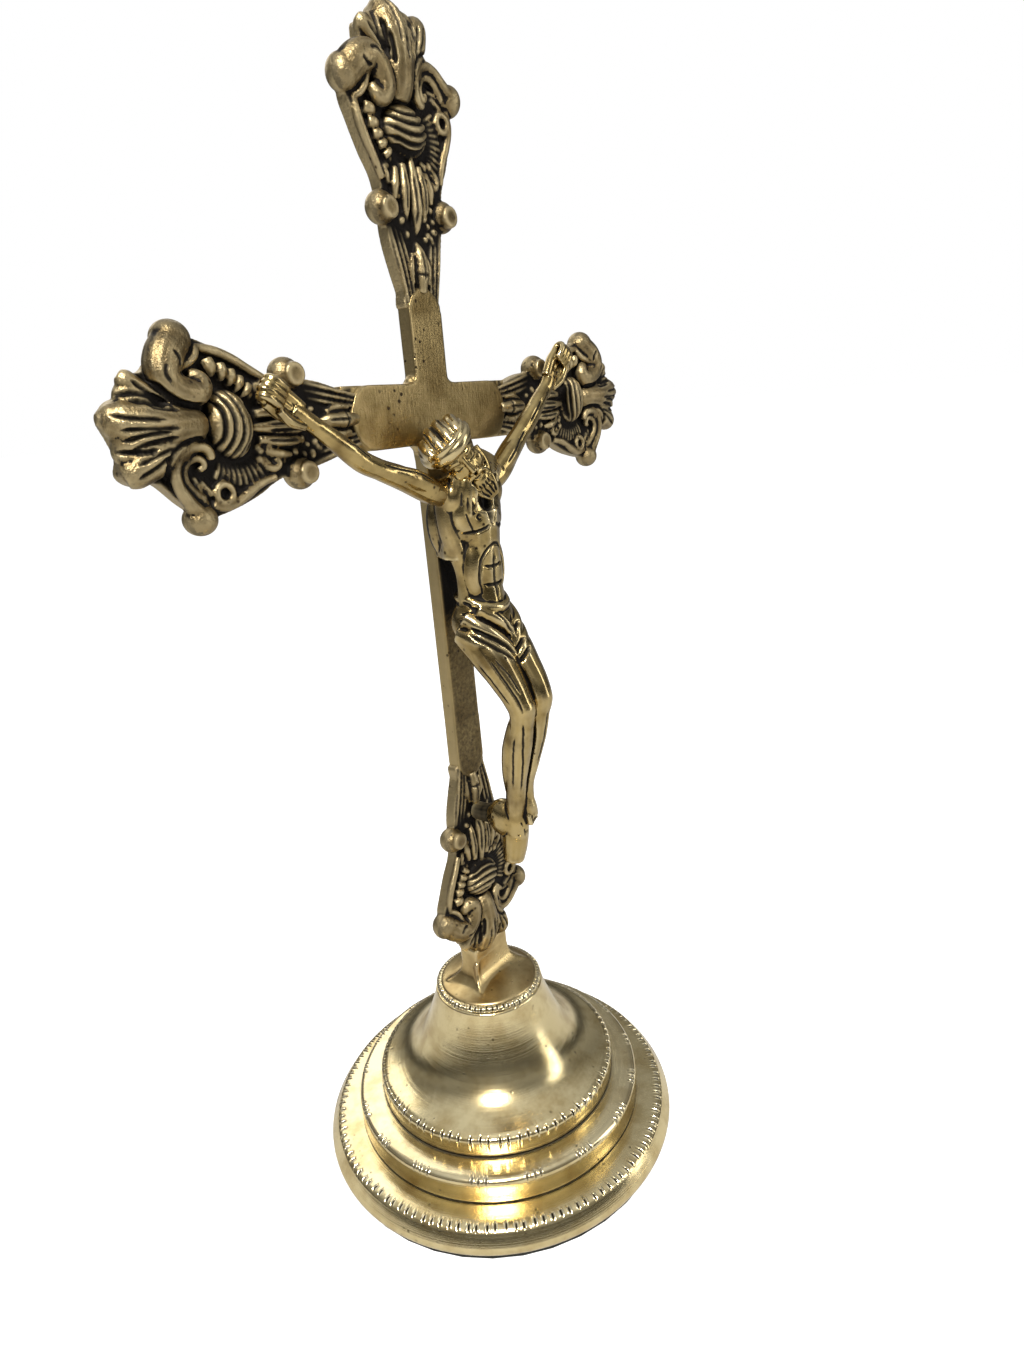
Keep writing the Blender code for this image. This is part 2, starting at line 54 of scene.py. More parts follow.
def span(node, axis):
    """Lowest and highest place of a CAD node along an axis, in millimetres."""
    low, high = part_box(node)
    return low[axis] / MM, high[axis] / MM


PLINTH_FOOT = span("plinth", 2)[0]
MIDDLE_FOOT = span("middle_tier", 2)[0]
BELL_FOOT, BELL_TOP = span("bell", 2)
STEM_FOOT, TONGUE_TOP = span("stem", 2)
CROSS_FOOT, CROSS_TOP = span("cross", 2)
ARM_REACH = span("cross", 0)[1]
PLINTH_RADIUS = span("plinth", 0)[1]
MIDDLE_RADIUS = span("middle_tier", 0)[1]
BELL_RADIUS = span("bell", 0)[1]
STEM_FOOT_RADIUS = span("stem", 0)[1]
UPPER_REACH = 87.0                      # crossing centre to the top tip
CROSSING = CROSS_TOP - UPPER_REACH
ORNAMENT = 59.2                         # tip of an ornament to the end of the plain face
GAP = 0.3                               # free space that the frame leaves between two pieces
PLINTH_TOP = MIDDLE_FOOT - GAP
MIDDLE_TOP = BELL_FOOT - GAP


# ---------------------------------------------------------------- small tools

def object_mode():
    if bpy.context.object and bpy.context.object.mode != "OBJECT":
        bpy.ops.object.mode_set(mode="OBJECT")


def pick(*objects):
    """Select only these objects, the first one active."""
    object_mode()
    bpy.ops.object.select_all(action="DESELECT")
    for each in objects:
        each.select_set(True)
    bpy.context.view_layer.objects.active = objects[0]
    return objects[0]


def settle(obj):
    """Put the object's place into its mesh."""
    pick(obj)
    bpy.ops.object.transform_apply(location=True, rotation=True, scale=True)
    return obj


def use(obj, kind, **settings):
    """Add a modifier, set it and apply it."""
    pick(obj)
    bpy.ops.object.modifier_add(type=kind)
    added = obj.modifiers[-1]
    for key, value in settings.items():
        setattr(added, key, value)
    bpy.ops.object.modifier_apply(modifier=added.name)
    return obj


def join(parts, name):
    pick(*parts)
    if len(parts) > 1:
        bpy.ops.object.join()
    made = bpy.context.object
    made.name = name
    made.data.name = name
    return settle(made)


def points_of(obj):
    co = np.empty(len(obj.data.vertices) * 3, np.float32)
    obj.data.vertices.foreach_get("co", co)
    return co.reshape(-1, 3).astype(np.float64) / MM


def normals_of(obj):
    flat = np.empty(len(obj.data.vertices) * 3, np.float32)
    obj.data.vertices.foreach_get("normal", flat)
    return flat.reshape(-1, 3).astype(np.float64)


def put_points(obj, co):
    obj.data.vertices.foreach_set("co", (co * MM).astype(np.float32).ravel())
    obj.data.update()


def edges_of(obj):
    pairs = np.empty(len(obj.data.edges) * 2, np.int32)
    obj.data.edges.foreach_get("vertices", pairs)
    return pairs.reshape(-1, 2)


def paint(obj, name, values):
    """Store one number per vertex for the material."""
    layer = obj.data.attributes.new(name, "FLOAT", "POINT")
    layer.data.foreach_set("value", np.clip(values, 0, 1).astype(np.float32))


def smoothed(co, pairs, rounds):
    """Average each point with its neighbours, again and again."""
    count = np.bincount(pairs.ravel(), minlength=len(co)).astype(float)[:, None]
    for _ in range(rounds):
        total = np.zeros_like(co)
        for axis in range(3):
            total[:, axis] += np.bincount(pairs[:, 0], co[pairs[:, 1], axis], len(co))
            total[:, axis] += np.bincount(pairs[:, 1], co[pairs[:, 0], axis], len(co))
        co = 0.5 * co + 0.5 * total / count
    return co


def hollows(obj, near=0.10, far=0.35):
    """Two masks: how far each vertex lies below its surroundings, and how far it stands out."""
    co, pairs, normal = points_of(obj), edges_of(obj), normals_of(obj)
    fine = smoothed(co, pairs, 5)
    wide = smoothed(fine, pairs, 40)
    small = ((fine - co) * normal).sum(1) / near
    large = ((wide - co) * normal).sum(1) / far
    # The fine mask is patina in crevices; the wide mask also darkens broad low areas as painted shade.
    mask = np.clip(small, 0, 1) * 0.6 + np.clip(large, 0, 1)
    rub = np.clip(-1.3 * large - 0.35, 0, 1)
    return np.clip(mask, 0, 1), rub


# ---------------------------------------------------------------- view, floor and light

CAMERA_PLACE = Vector((-0.16029, -0.15136, 0.21718))
CAMERA_TURN = (-50.51, 17.99, -4.75)    # round the object, above the horizon, roll
LENS = 22.02
SENSOR = 36.0
FLOOR_RADIUS = 40.0                     # in metres, past everything that the camera sees
FLOOR_DROP = 0.0002
FLOOR_GREY = (0.56, 0.56, 0.56, 1)
ROOM_ENDS = ((0.16, 0.16, 0.15, 1), (0.74, 0.76, 0.80, 1))
ROOM_STOPS = ((0.08, 0.03), (0.20, 0.06), (0.34, 0.30), (0.60, 0.16))    # height, grey


def add_camera():
    around, above, roll = (math.radians(a) for a in CAMERA_TURN)
    back = Vector((math.sin(around) * math.cos(above), -math.cos(around) * math.cos(above),
                   math.sin(above)))
    bpy.ops.object.camera_add(location=CAMERA_PLACE)
    camera = bpy.context.object
    camera.name = "view_camera"
    camera.data.lens = LENS
    camera.data.sensor_width = SENSOR
    camera.data.clip_start = 0.01
    camera.rotation_mode = "QUATERNION"
    level = (-back).to_track_quat("-Z", "Y")
    camera.rotation_quaternion = level @ Quaternion((0, 0, 1), roll)
    bpy.context.scene.camera = camera


def add_floor():
    bpy.ops.mesh.primitive_circle_add(vertices=96, radius=FLOOR_RADIUS, fill_type="NGON",
                                      location=(0, 0, -FLOOR_DROP))
    floor = bpy.context.object
    floor.name = "floor"
    pale = bpy.data.materials.new("pale_floor")
    pale.use_nodes = True
    tree = pale.node_tree
    shader = tree.nodes["Principled BSDF"]
    shader.inputs["Base Color"].default_value = FLOOR_GREY
    shader.inputs["Roughness"].default_value = 0.9
    shader.inputs["Emission Color"].default_value = (1, 1, 1, 1)
    path = tree.nodes.new("ShaderNodeLightPath")
    glow = math_node(tree, "MULTIPLY", path.outputs["Is Camera Ray"], 0.85)
    tree.links.new(glow, shader.inputs["Emission Strength"])
    floor.data.materials.append(pale)


def add_softbox(name, place, target, size, power, colour=(1, 1, 1)):
    bpy.ops.object.light_add(type="AREA", location=place)
    lamp = bpy.context.object
    lamp.name = name
    lamp.data.shape = "RECTANGLE"
    lamp.data.size, lamp.data.size_y = size
    lamp.data.energy = power
    lamp.data.color = colour
    lamp.rotation_mode = "QUATERNION"
    lamp.rotation_quaternion = (Vector(target) - Vector(place)).to_track_quat("-Z", "Y")


def add_lights():
    """Three softboxes round the object."""
    middle = (0, 0, 0.15)
    add_softbox("key_light", (-0.62, -0.42, 0.95), middle, (0.24, 0.24), 14.0, (1.0, 0.97, 0.92))
    add_softbox("fill_light", (0.55, -0.9, 0.45), middle, (0.25, 0.9), 2.6)
    add_softbox("back_light", (0.3, 0.8, 0.8), middle, (0.9, 0.5), 2.4)


def add_room():
    """Grey room that the brass reflects, white behind the object."""
    bpy.context.scene.view_settings.view_transform = "Standard"
    world = bpy.context.scene.world or bpy.data.worlds.new("studio")
    bpy.context.scene.world = world
    world.use_nodes = True
    nodes, links = world.node_tree.nodes, world.node_tree.links
    nodes.clear()
    coord = nodes.new("ShaderNodeTexCoord")
    split = nodes.new("ShaderNodeSeparateXYZ")
    ramp = nodes.new("ShaderNodeValToRGB")
    stops = ramp.color_ramp.elements
    stops[0].position, stops[0].color = 0.0, ROOM_ENDS[0]
    stops[1].position, stops[1].color = 1.0, ROOM_ENDS[1]
    for place, grey in ROOM_STOPS:
        stop = stops.new(place)
        stop.color = (grey, grey, grey, 1)
    room = nodes.new("ShaderNodeBackground")
    white = nodes.new("ShaderNodeBackground")
    white.inputs["Color"].default_value = (1.0, 1.0, 1.0, 1)
    path = nodes.new("ShaderNodeLightPath")
    mix = nodes.new("ShaderNodeMixShader")
    out = nodes.new("ShaderNodeOutputWorld")
    links.new(coord.outputs["Generated"], split.inputs[0])
    links.new(split.outputs["Z"], ramp.inputs["Fac"])
    links.new(ramp.outputs["Color"], room.inputs["Color"])
    links.new(path.outputs["Is Camera Ray"], mix.inputs["Fac"])
    links.new(room.outputs[0], mix.inputs[1])
    links.new(white.outputs[0], mix.inputs[2])
    links.new(mix.outputs[0], out.inputs["Surface"])


# ---------------------------------------------------------------- finishes

def group_sockets(group, inputs, outputs):
    for name, kind, value in inputs:
        socket = group.interface.new_socket(name=name, in_out="INPUT", socket_type=kind)
        socket.default_value = value
    for name, kind in outputs:
        group.interface.new_socket(name=name, in_out="OUTPUT", socket_type=kind)
    return group.nodes.new("NodeGroupInput"), group.nodes.new("NodeGroupOutput")


def feed(tree, node, **values):
    """Set or link inputs; in0=value goes to the first input. A tuple is a colour."""
    for key, value in values.items():
        socket = node.inputs[int(key[2:])]
        if isinstance(value, (int, float)):
            socket.default_value = value
        elif isinstance(value, tuple):
            socket.default_value = (*value, 1.0)
        else:
            tree.links.new(value, socket)


def math_node(tree, operation, a, b=0.5, clamp=False):
    node = tree.nodes.new("ShaderNodeMath")
    node.operation = operation
    node.use_clamp = clamp
    feed(tree, node, in0=a, in1=b)
    return node.outputs[0]


def noise_node(tree, vector, scale, detail=3.0, rough=0.55, stretch=None):
    links = tree.links
    if stretch:
        mapping = tree.nodes.new("ShaderNodeMapping")
        mapping.inputs["Scale"].default_value = stretch
        links.new(vector, mapping.inputs["Vector"])
        vector = mapping.outputs[0]
    node = tree.nodes.new("ShaderNodeTexNoise")
    node.inputs["Scale"].default_value = scale
    node.inputs["Detail"].default_value = detail
    node.inputs["Roughness"].default_value = rough
    links.new(vector, node.inputs["Vector"])
    return node.outputs["Fac"]


def ramp_node(tree, factor, low, high):
    """Map low..high of a factor to 0..1, clamped."""
    node = tree.nodes.new("ShaderNodeMapRange")
    node.inputs["From Min"].default_value = low
    node.inputs["From Max"].default_value = high
    tree.links.new(factor, node.inputs["Value"])
    return node.outputs[0]


def mix_colour(tree, factor, a, b):
    node = tree.nodes.new("ShaderNodeMix")
    node.data_type = "RGBA"
    feed(tree, node, in0=factor, in6=a, in7=b)
    return node.outputs[2]


def mix_value(tree, factor, a, b):
    node = tree.nodes.new("ShaderNodeMix")
    feed(tree, node, in0=factor, in2=a, in3=b)
    return node.outputs[0]


def new_finish(name):
    """A new material: itself, its tree, its shader and its Object coordinates."""
    made = bpy.data.materials.new(name)
    made.use_nodes = True
    tree = made.node_tree
    coord = tree.nodes.new("ShaderNodeTexCoord")
    return made, tree, tree.nodes["Principled BSDF"], coord.outputs["Object"]


def shared(tree, kind, vector):
    """Place one of the shared groups."""
    node = tree.nodes.new("ShaderNodeGroup")
    node.node_tree = GROUPS[kind]
    tree.links.new(vector, node.inputs["Vector"])
    return node


def add_bump(tree, shader, height, strength, distance):
    relief = tree.nodes.new("ShaderNodeBump")
    relief.inputs["Strength"].default_value = strength
    relief.inputs["Distance"].default_value = distance
    tree.links.new(height, relief.inputs["Height"])
    tree.links.new(relief.outputs[0], shader.inputs["Normal"])


def new_group(name, inputs, outputs):
    group = bpy.data.node_groups.new(name, "ShaderNodeTree")
    vector = [("Vector", "NodeSocketVector", (0, 0, 0))]
    start, end = group_sockets(group, vector + inputs, outputs)
    return group, start, end


def number(name, value):
    return name, "NodeSocketFloat", value


def colour(name, value):
    return name, "NodeSocketColor", (*value, 1)


def make_patina_and_painted_light_group():
    """Dark patina in hollows and worn crests, in one layer that also carries painted shade and painted
    highlights.
    """
    group, start, end = new_group(
        "patina_and_painted_light_nodes",
        [colour("Bright", (0.6, 0.45, 0.2)), colour("Warm", (0.5, 0.33, 0.13)),
         colour("Tarnish_And_Painted_Shade", (0.012, 0.010, 0.008)), colour("Crest", (0.86, 0.72, 0.44)),
         number("Mottle", 0.5), number("Depth", 0.5), number("Rub", 0.3), number("Shine", 0.25),
         number("Dull", 0.6)],
        [("Color", "NodeSocketColor"), ("Roughness", "NodeSocketFloat"), ("Metallic", "NodeSocketFloat"),
         ("Mask", "NodeSocketFloat")],
    )
    vector = start.outputs["Vector"]
    hollow = group.nodes.new("ShaderNodeAttribute")
    hollow.attribute_name = "hollow"
    wear_and_painted_highlight = group.nodes.new("ShaderNodeAttribute")
    wear_and_painted_highlight.attribute_name = "wear_and_painted_highlight"
    grain = noise_node(group, vector, 900, 4.0, 0.65)
    blotch = noise_node(group, vector, 130, 3.0, 0.6)
    ragged = math_node(group, "MULTIPLY", math_node(group, "SUBTRACT", grain, 0.5), start.outputs["Mottle"])
    deep = math_node(group, "ADD", hollow.outputs["Fac"], ragged)
    edge = math_node(group, "SUBTRACT", 1.0, start.outputs["Depth"])
    high = math_node(group, "ADD", edge, 0.30)
    mask = group.nodes.new("ShaderNodeMapRange")
    mask.interpolation_type = "SMOOTHSTEP"
    group.links.new(deep, mask.inputs["Value"])
    group.links.new(edge, mask.inputs["From Min"])
    group.links.new(high, mask.inputs["From Max"])
    warm = ramp_node(group, blotch, 0.42, 0.68)
    metal = mix_colour(group, warm, start.outputs["Bright"], start.outputs["Warm"])
    shaded = mix_colour(group, mask.outputs[0], metal, start.outputs["Tarnish_And_Painted_Shade"])
    lift = math_node(group, "MULTIPLY", wear_and_painted_highlight.outputs["Fac"], start.outputs["Rub"], clamp=True)
    lifted = mix_colour(group, lift, shaded, start.outputs["Crest"])
    uneven = math_node(group, "MULTIPLY", blotch, 0.14)
    shine = math_node(group, "ADD", start.outputs["Shine"], uneven)
    rough = mix_value(group, mask.outputs[0], shine, start.outputs["Dull"])
    metallic = mix_value(group, mask.outputs[0], 1.0, 0.85)
    group.links.new(lifted, end.inputs["Color"])
    group.links.new(rough, end.inputs["Roughness"])
    group.links.new(metallic, end.inputs["Metallic"])
    group.links.new(mask.outputs[0], end.inputs["Mask"])
    return group


def make_skin_group():
    """Surface of sand-cast metal: fine grain, pits and a few scratches, as one height."""
    group, start, end = new_group(
        "cast_skin",
        [number("Grain", 0.5), number("Pits", 0.3), number("Scratches", 0.3)],
        [("Height", "NodeSocketFloat"), ("Pit Mask", "NodeSocketFloat")],
    )
    vector = start.outputs["Vector"]
    grain = noise_node(group, vector, 1600, 3.0, 0.6)
    spots = group.nodes.new("ShaderNodeTexVoronoi")
    spots.inputs["Scale"].default_value = 420
    group.links.new(vector, spots.inputs["Vector"])
    sparse = ramp_node(group, noise_node(group, vector, 95, 2.0), 0.52, 0.62)
    pit = ramp_node(group, spots.outputs["Distance"], 0.22, 0.10)
    pit = math_node(group, "MULTIPLY", pit, sparse)
    lines = noise_node(group, vector, 300, 2.0, 0.5, (1.0, 7.0, 12.0))
    lines_b = noise_node(group, vector, 260, 2.0, 0.5, (9.0, 6.0, 1.0))
    both = math_node(group, "ADD", lines, lines_b)
    height = math_node(group, "MULTIPLY", grain, start.outputs["Grain"])
    height = math_node(group, "ADD", height, math_node(group, "MULTIPLY", both, start.outputs["Scratches"]))
    height = math_node(group, "SUBTRACT", height, math_node(group, "MULTIPLY", pit, start.outputs["Pits"]))
    group.links.new(height, end.inputs["Height"])
    group.links.new(math_node(group, "MULTIPLY", pit, start.outputs["Pits"], clamp=True),
                    end.inputs["Pit Mask"])
    return group


def make_lathe_group():
    """Fine rings left by the lathe round the upright axis."""
    group, start, end = new_group("lathe_rings", [number("Strength", 0.5)], [("Height", "NodeSocketFloat")])
    split = group.nodes.new("ShaderNodeSeparateXYZ")
    group.links.new(start.outputs["Vector"], split.inputs[0])
    x2 = math_node(group, "MULTIPLY", split.outputs[0], split.outputs[0])
    y2 = math_node(group, "MULTIPLY", split.outputs[1], split.outputs[1])
    radius = math_node(group, "SQRT", math_node(group, "ADD", x2, y2))
    join_up = group.nodes.new("ShaderNodeCombineXYZ")
    group.links.new(radius, join_up.inputs[0])
    group.links.new(split.outputs[2], join_up.inputs[1])
    rings = noise_node(group, join_up.outputs[0], 1500, 4.0, 0.7)
    broad = noise_node(group, join_up.outputs[0], 260, 2.0, 0.5)
    both = math_node(group, "ADD", rings, math_node(group, "MULTIPLY", broad, 1.5))
    group.links.new(math_node(group, "MULTIPLY", both, start.outputs["Strength"]), end.inputs["Height"])
    return group


PIT_BROWN = (0.05, 0.035, 0.02)
GRAIN_DEPTH = 0.0001
NAP_DEPTH = 0.0002


def brass(name, bright, warm, crest, bump, lathe=0.0, **numbers):
    """Brass finish from the shared groups; numbers go to the group sockets of the same name."""
    made, tree, shader, place = new_finish(name)
    patina, skin = shared(tree, "patina", place), shared(tree, "skin", place)
    for group in (patina, skin):
        for key, value in numbers.items():
            if key in group.inputs:
                group.inputs[key].default_value = value
    for key, value in (("Bright", bright), ("Warm", warm), ("Crest", crest)):
        patina.inputs[key].default_value = (*value, 1)
    pitted = mix_colour(tree, skin.outputs["Pit Mask"], patina.outputs["Color"], PIT_BROWN)
    tree.links.new(pitted, shader.inputs["Base Color"])
    tree.links.new(patina.outputs["Roughness"], shader.inputs["Roughness"])
    tree.links.new(patina.outputs["Metallic"], shader.inputs["Metallic"])
    height = skin.outputs["Height"]
    if lathe:
        rings = shared(tree, "lathe", place)
        rings.inputs["Strength"].default_value = lathe
        height = math_node(tree, "ADD", height, rings.outputs["Height"])
    add_bump(tree, shader, height, bump, GRAIN_DEPTH)
    return made


# Near-black finish for the ring under the base's rim, made to give the thin dark line along the foot.
def make_dark_foot_ring():
    made, tree, shader, place = new_finish("black_baize")
    fuzz = noise_node(tree, place, 2500, 3.0)
    nap = mix_colour(tree, fuzz, (0.010, 0.011, 0.010), (0.035, 0.038, 0.034))
    tree.links.new(nap, shader.inputs["Base Color"])
    shader.inputs["Roughness"].default_value = 0.95
    add_bump(tree, shader, fuzz, 0.6, NAP_DEPTH)
    return made


def make_steel():
    made, tree, shader, place = new_finish("zinc_steel")
    grain = noise_node(tree, place, 700, 3.0)
    zinc = mix_colour(tree, grain, (0.42, 0.42, 0.43), (0.62, 0.61, 0.58))
    tree.links.new(zinc, shader.inputs["Base Color"])
    tree.links.new(mix_value(tree, grain, 0.28, 0.5), shader.inputs["Roughness"])
    shader.inputs["Metallic"].default_value = 1.0
    return made


GROUPS = {"patina": make_patina_and_painted_light_group(), "skin": make_skin_group(), "lathe": make_lathe_group()}
FINISH = {
    "base": brass(
        "polished_brass", (0.84, 0.70, 0.39), (0.62, 0.48, 0.23), (0.95, 0.87, 0.64), 0.42, 1.0,
        Depth=0.66, Rub=0.8, Mottle=0.3, Shine=0.12, Grain=0.12, Pits=0.6, Scratches=0.2),
    "stem": brass(
        "stem_brass", (0.62, 0.47, 0.22), (0.42, 0.29, 0.12), (0.86, 0.72, 0.44), 0.4,
        Depth=0.5, Rub=0.5, Mottle=0.5, Shine=0.22, Grain=0.35, Pits=0.7, Scratches=0.25),
    "bars": brass(
        "plain_face_brass", (0.30, 0.22, 0.095), (0.17, 0.118, 0.045), (0.60, 0.47, 0.24), 0.75,
        Depth=0.5, Rub=0.85, Mottle=0.35, Shine=0.30, Grain=1.0, Pits=1.5, Scratches=0.7),
    "ornament": brass(
        "antique_brass", (0.28, 0.208, 0.10), (0.10, 0.072, 0.034), (0.62, 0.50, 0.28), 0.95,
        Depth=0.82, Rub=0.75, Mottle=1.9, Shine=0.33, Grain=2.0, Pits=0.9, Scratches=0.3),
    "figure": brass(
        "figure_brass", (0.50, 0.37, 0.15), (0.24, 0.165, 0.062), (0.88, 0.74, 0.44), 0.45,
        Depth=0.74, Rub=0.6, Mottle=0.7, Shine=0.14, Grain=0.5, Pits=1.1, Scratches=0.3),
    "dark_foot_ring": make_dark_foot_ring(),
    "steel": make_steel(),
}


def dress(obj, finish):
    obj.data.materials.clear()
    obj.data.materials.append(FINISH[finish])


def finish_piece(obj, finish, slot, *nodes):
    dress(obj, finish)
    pick(obj)
    bpy.ops.object.shade_smooth()
    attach(obj, BODY)
    if nodes:
        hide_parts(*nodes)
    return obj


# ---------------------------------------------------------------- turned base

HOLE = 2.4                              # radius of the hole for the rod
SEAT = 2.4                              # from a tier's rim in to the ring that it drops over
RING_WIDTH = 2.0
RING_HEIGHT = 1.3
WEB = 1.6                               # thickness of a tier's top
BELL_TOP_RADIUS = 16.3
STEPS = {"plinth": 2048, "middle": 1800, "bell": 1536, "dome": 96}
# number, half width, depth, seed and, where they stand in groups, (groups, most in each, pitch)
TICKS = {
    "plinth": (124, 0.31, 0.42, 3, None), "middle": (0, 0.30, 0.42, 5, (17, 4, 0.046)),
    "bell_foot": (80, 0.31, 0.44, 7, None), "bell_top": (58, 0.28, 0.40, 9, None),
}


def arc(cx, cz, rx, rz, start, end, count):
    angles = np.radians(np.linspace(start, end, count))
    return [(cx + rx * math.cos(a), cz + rz * math.sin(a)) for a in angles]


def even_path(points, step):
    """Points every step along a polyline, ends kept."""
    points = np.array(points)
    lengths = np.linalg.norm(np.diff(points, axis=0), axis=1)
    total = np.concatenate([[0], np.cumsum(lengths)])
    count = max(2, int(round(total[-1] / step)) + 1)
    places = np.linspace(0, total[-1], count)
    return [tuple(np.interp(p, total, points[:, i]) for i in (0, 1)) for p in places]


def turned(name, outline, steps):
    """Spin a closed (radius, height) outline round the upright axis."""
    mesh = bpy.data.meshes.new(name)
    verts = [(r * MM, 0, z * MM) for r, z in outline]
    edges = [(i, (i + 1) % len(verts)) for i in range(len(verts))]
    mesh.from_pydata(verts, edges, [])
    made = bpy.data.objects.new(name, mesh)
    bpy.context.scene.collection.objects.link(made)
    use(made, "SCREW", axis="Z", steps=steps, render_steps=steps, use_merge_vertices=True,
        merge_threshold=0.000002, use_normal_calculate=True)
    return outward_faces(made)


def outward_faces(obj):
    """Turn the faces of a closed skin so that they point out of it."""
    pick(obj)
    work = bmesh.new()
    work.from_mesh(obj.data)
    if work.calc_volume(signed=True) < 0:
        bmesh.ops.reverse_faces(work, faces=work.faces)
        work.to_mesh(obj.data)
    work.free()
    return obj


def chisel(obj, marks, centre, half_length, hollow, bright):
    """Cut short radial ticks over a rounded edge.

    marks are (angle, half width, depth, shift along the profile); centre is the
    (radius, height) the ticks cross and half_length how far they run each way.
    """
    co, normal = points_of(obj), normals_of(obj)
    radius = np.hypot(co[:, 0], co[:, 1])
    angle = np.arctan2(co[:, 1], co[:, 0])
    near = np.hypot(radius - centre[0], co[:, 2] - centre[1]) < half_length + 1.2
    outward = (normal[:, 0] * co[:, 0] + normal[:, 1] * co[:, 1]) / np.maximum(radius, 1e-6)
    near &= (outward > -0.05) | (normal[:, 2] > 0.2)
    chosen = np.where(near)[0]
    along = ((radius[chosen] - centre[0]) - (co[chosen, 2] - centre[1])) * 0.7
    push = np.zeros(len(co))
    for where, half_width, depth, shift in marks:
        across = (angle[chosen] - where + math.pi) % math.tau - math.pi
        across = np.abs(across) * radius[chosen]
        close = across < half_width * 2.4
        if not close.any():
            continue
        ids = chosen[close]
        end = np.clip((half_length - np.abs(along[close] - shift)) / 0.5, 0, 1)
        cut = np.clip(1 - across[close] / half_width, 0, 1) ** 0.7
        burr = np.exp(-((across[close] - half_width * 1.6) / (half_width * 0.6)) ** 2)
        push[ids] = np.where(cut > 0, -depth * cut * end, np.maximum(push[ids], 0.3 * depth * burr * end))
        hollow[ids] = np.maximum(hollow[ids], np.sqrt(cut) * end)
        bright[ids] = np.maximum(bright[ids], burr * end)
    put_points(obj, co + normal * push[:, None])


def ring_marks(ring):
    """Hand-cut marks round a ring."""
    count, half_width, depth, seed, groups = TICKS[ring]
    rng = random.Random(seed)
    marks = []
    if groups:
        number, each, pitch = groups
        for g in range(number):
            middle = math.tau * g / number + rng.uniform(-0.03, 0.03)
            for k in range(each - rng.choice((0, 1))):
                where = middle + (k - (each - 1) / 2) * pitch + rng.uniform(-0.006, 0.006)
                marks.append((where, half_width * rng.uniform(0.85, 1.15), depth * rng.uniform(0.7, 1.2),
                              rng.uniform(-0.2, 0.2)))
        return marks
    for i in range(count):
        where = math.tau * (i + rng.uniform(-0.13, 0.13)) / count
        marks.append((where, half_width * rng.uniform(0.85, 1.15), depth * rng.uniform(0.8, 1.15),
                      rng.uniform(-0.25, 0.25)))
    return marks


def near_height(obj, low, width):
    """1 at a height, fading over a width above it: grime along a joint."""
    return np.clip(1 - (points_of(obj)[:, 2] - low) / width, 0, 1)


def hidden_inside(foot, wall, web):
    """Inner side of a hollow tier, from the wall's foot up and in to its centre hole."""
    return [(wall, foot), (wall, web - 1.0), (wall - 1.0, web), (HOLE, web)]


def locating_ring(seat, top):
    """Low ring on a tier that the next tier drops over."""
    inner = seat - RING_WIDTH
    return [(HOLE, top), (inner, top), (inner, top + RING_HEIGHT), (seat - 0.05, top + RING_HEIGHT)]


def cut_ticks(tier, rows):
    """Cut rings of ticks, each (ring, centre, half length); gives the dark and the bright traces."""
    hollow = np.zeros(len(tier.data.vertices))
    bright = np.zeros(len(tier.data.vertices))
    for ring, centre, half_length in rows:
        chisel(tier, ring_marks(ring), centre, half_length, hollow, bright)
    return hollow, bright


def joint_dirt(co, radius, width, top):
    """1 where a tier's top meets the wall of the next one, fading outward."""
    far = np.hypot(co[:, 0], co[:, 1])
    return np.clip(1 - (far - radius) / width, 0, 1) * (co[:, 2] > top - 0.5)


def make_plinth():
    foot, top, radius = PLINTH_FOOT, PLINTH_TOP, PLINTH_RADIUS
    seat = MIDDLE_RADIUS - SEAT
    skin = [(seat, top), (MIDDLE_RADIUS - 1.5, top)]
    ring = [(radius - 5.4, top - 0.12)] + arc(radius - 4.6, top - 1.9, 2.7, 1.75, 88, 14, 9)
    roll = arc(radius - 2.75, foot + 2.9, 2.75, 2.9, 24, -66, 11)
    skin += [(MIDDLE_RADIUS + 1.2, top - 0.05), (radius - 8.0, top - 0.1)] + even_path(ring, 0.38) + roll
    inside = hidden_inside(foot, radius - 3.4, top - WEB) + locating_ring(seat, top)
    tier = turned("plinth_turned", skin + inside, STEPS["plinth"])
    hollow, bright = cut_ticks(tier, [("plinth", (radius - 3.5, top - 0.4), 1.0)])
    seam = joint_dirt(points_of(tier), MIDDLE_RADIUS, 0.7, top)
    paint(tier, "hollow", np.maximum(hollow, seam * 0.95))
    paint(tier, "wear_and_painted_highlight", bright)
    return finish_piece(tier, "base", "polished_brass", "plinth")


def make_middle_tier():
    foot, top, radius = MIDDLE_FOOT, MIDDLE_TOP, MIDDLE_RADIUS
    seat = BELL_RADIUS - SEAT
    ring = [(radius - 2.9, top - 0.05)] + arc(radius - 1.9, top - 1.7, 1.85, 1.62, 86, 0, 9)
    outer = [(BELL_RADIUS - 1.5, top), (BELL_RADIUS + 2.0, top)] + even_path(ring, 0.36)
    outer += [(radius - 0.1, top - 3.2), (radius - 0.25, top - 5.4), (radius - 0.05, foot + 0.5),
              (radius - 0.1, foot)]
    inside = hidden_inside(foot, radius - 2.0, top - WEB) + locating_ring(seat, top)
    tier = turned("middle_tier_turned", [(seat, top)] + outer + inside, STEPS["middle"])
    hollow, bright = cut_ticks(tier, [("middle", (radius - 0.9, top - 0.6), 1.1)])
    co = points_of(tier)
    seam = np.maximum(joint_dirt(co, BELL_RADIUS, 0.6, top), near_height(tier, foot, 0.5))
    paint(tier, "hollow", np.maximum(hollow, seam * 0.9))
    rim = np.clip(1 - np.abs(co[:, 2] - top + 0.4) / 0.9, 0, 1) * 0.3
    paint(tier, "wear_and_painted_highlight", np.maximum(bright, rim))
    return finish_piece(tier, "base", "polished_brass", "middle_tier")


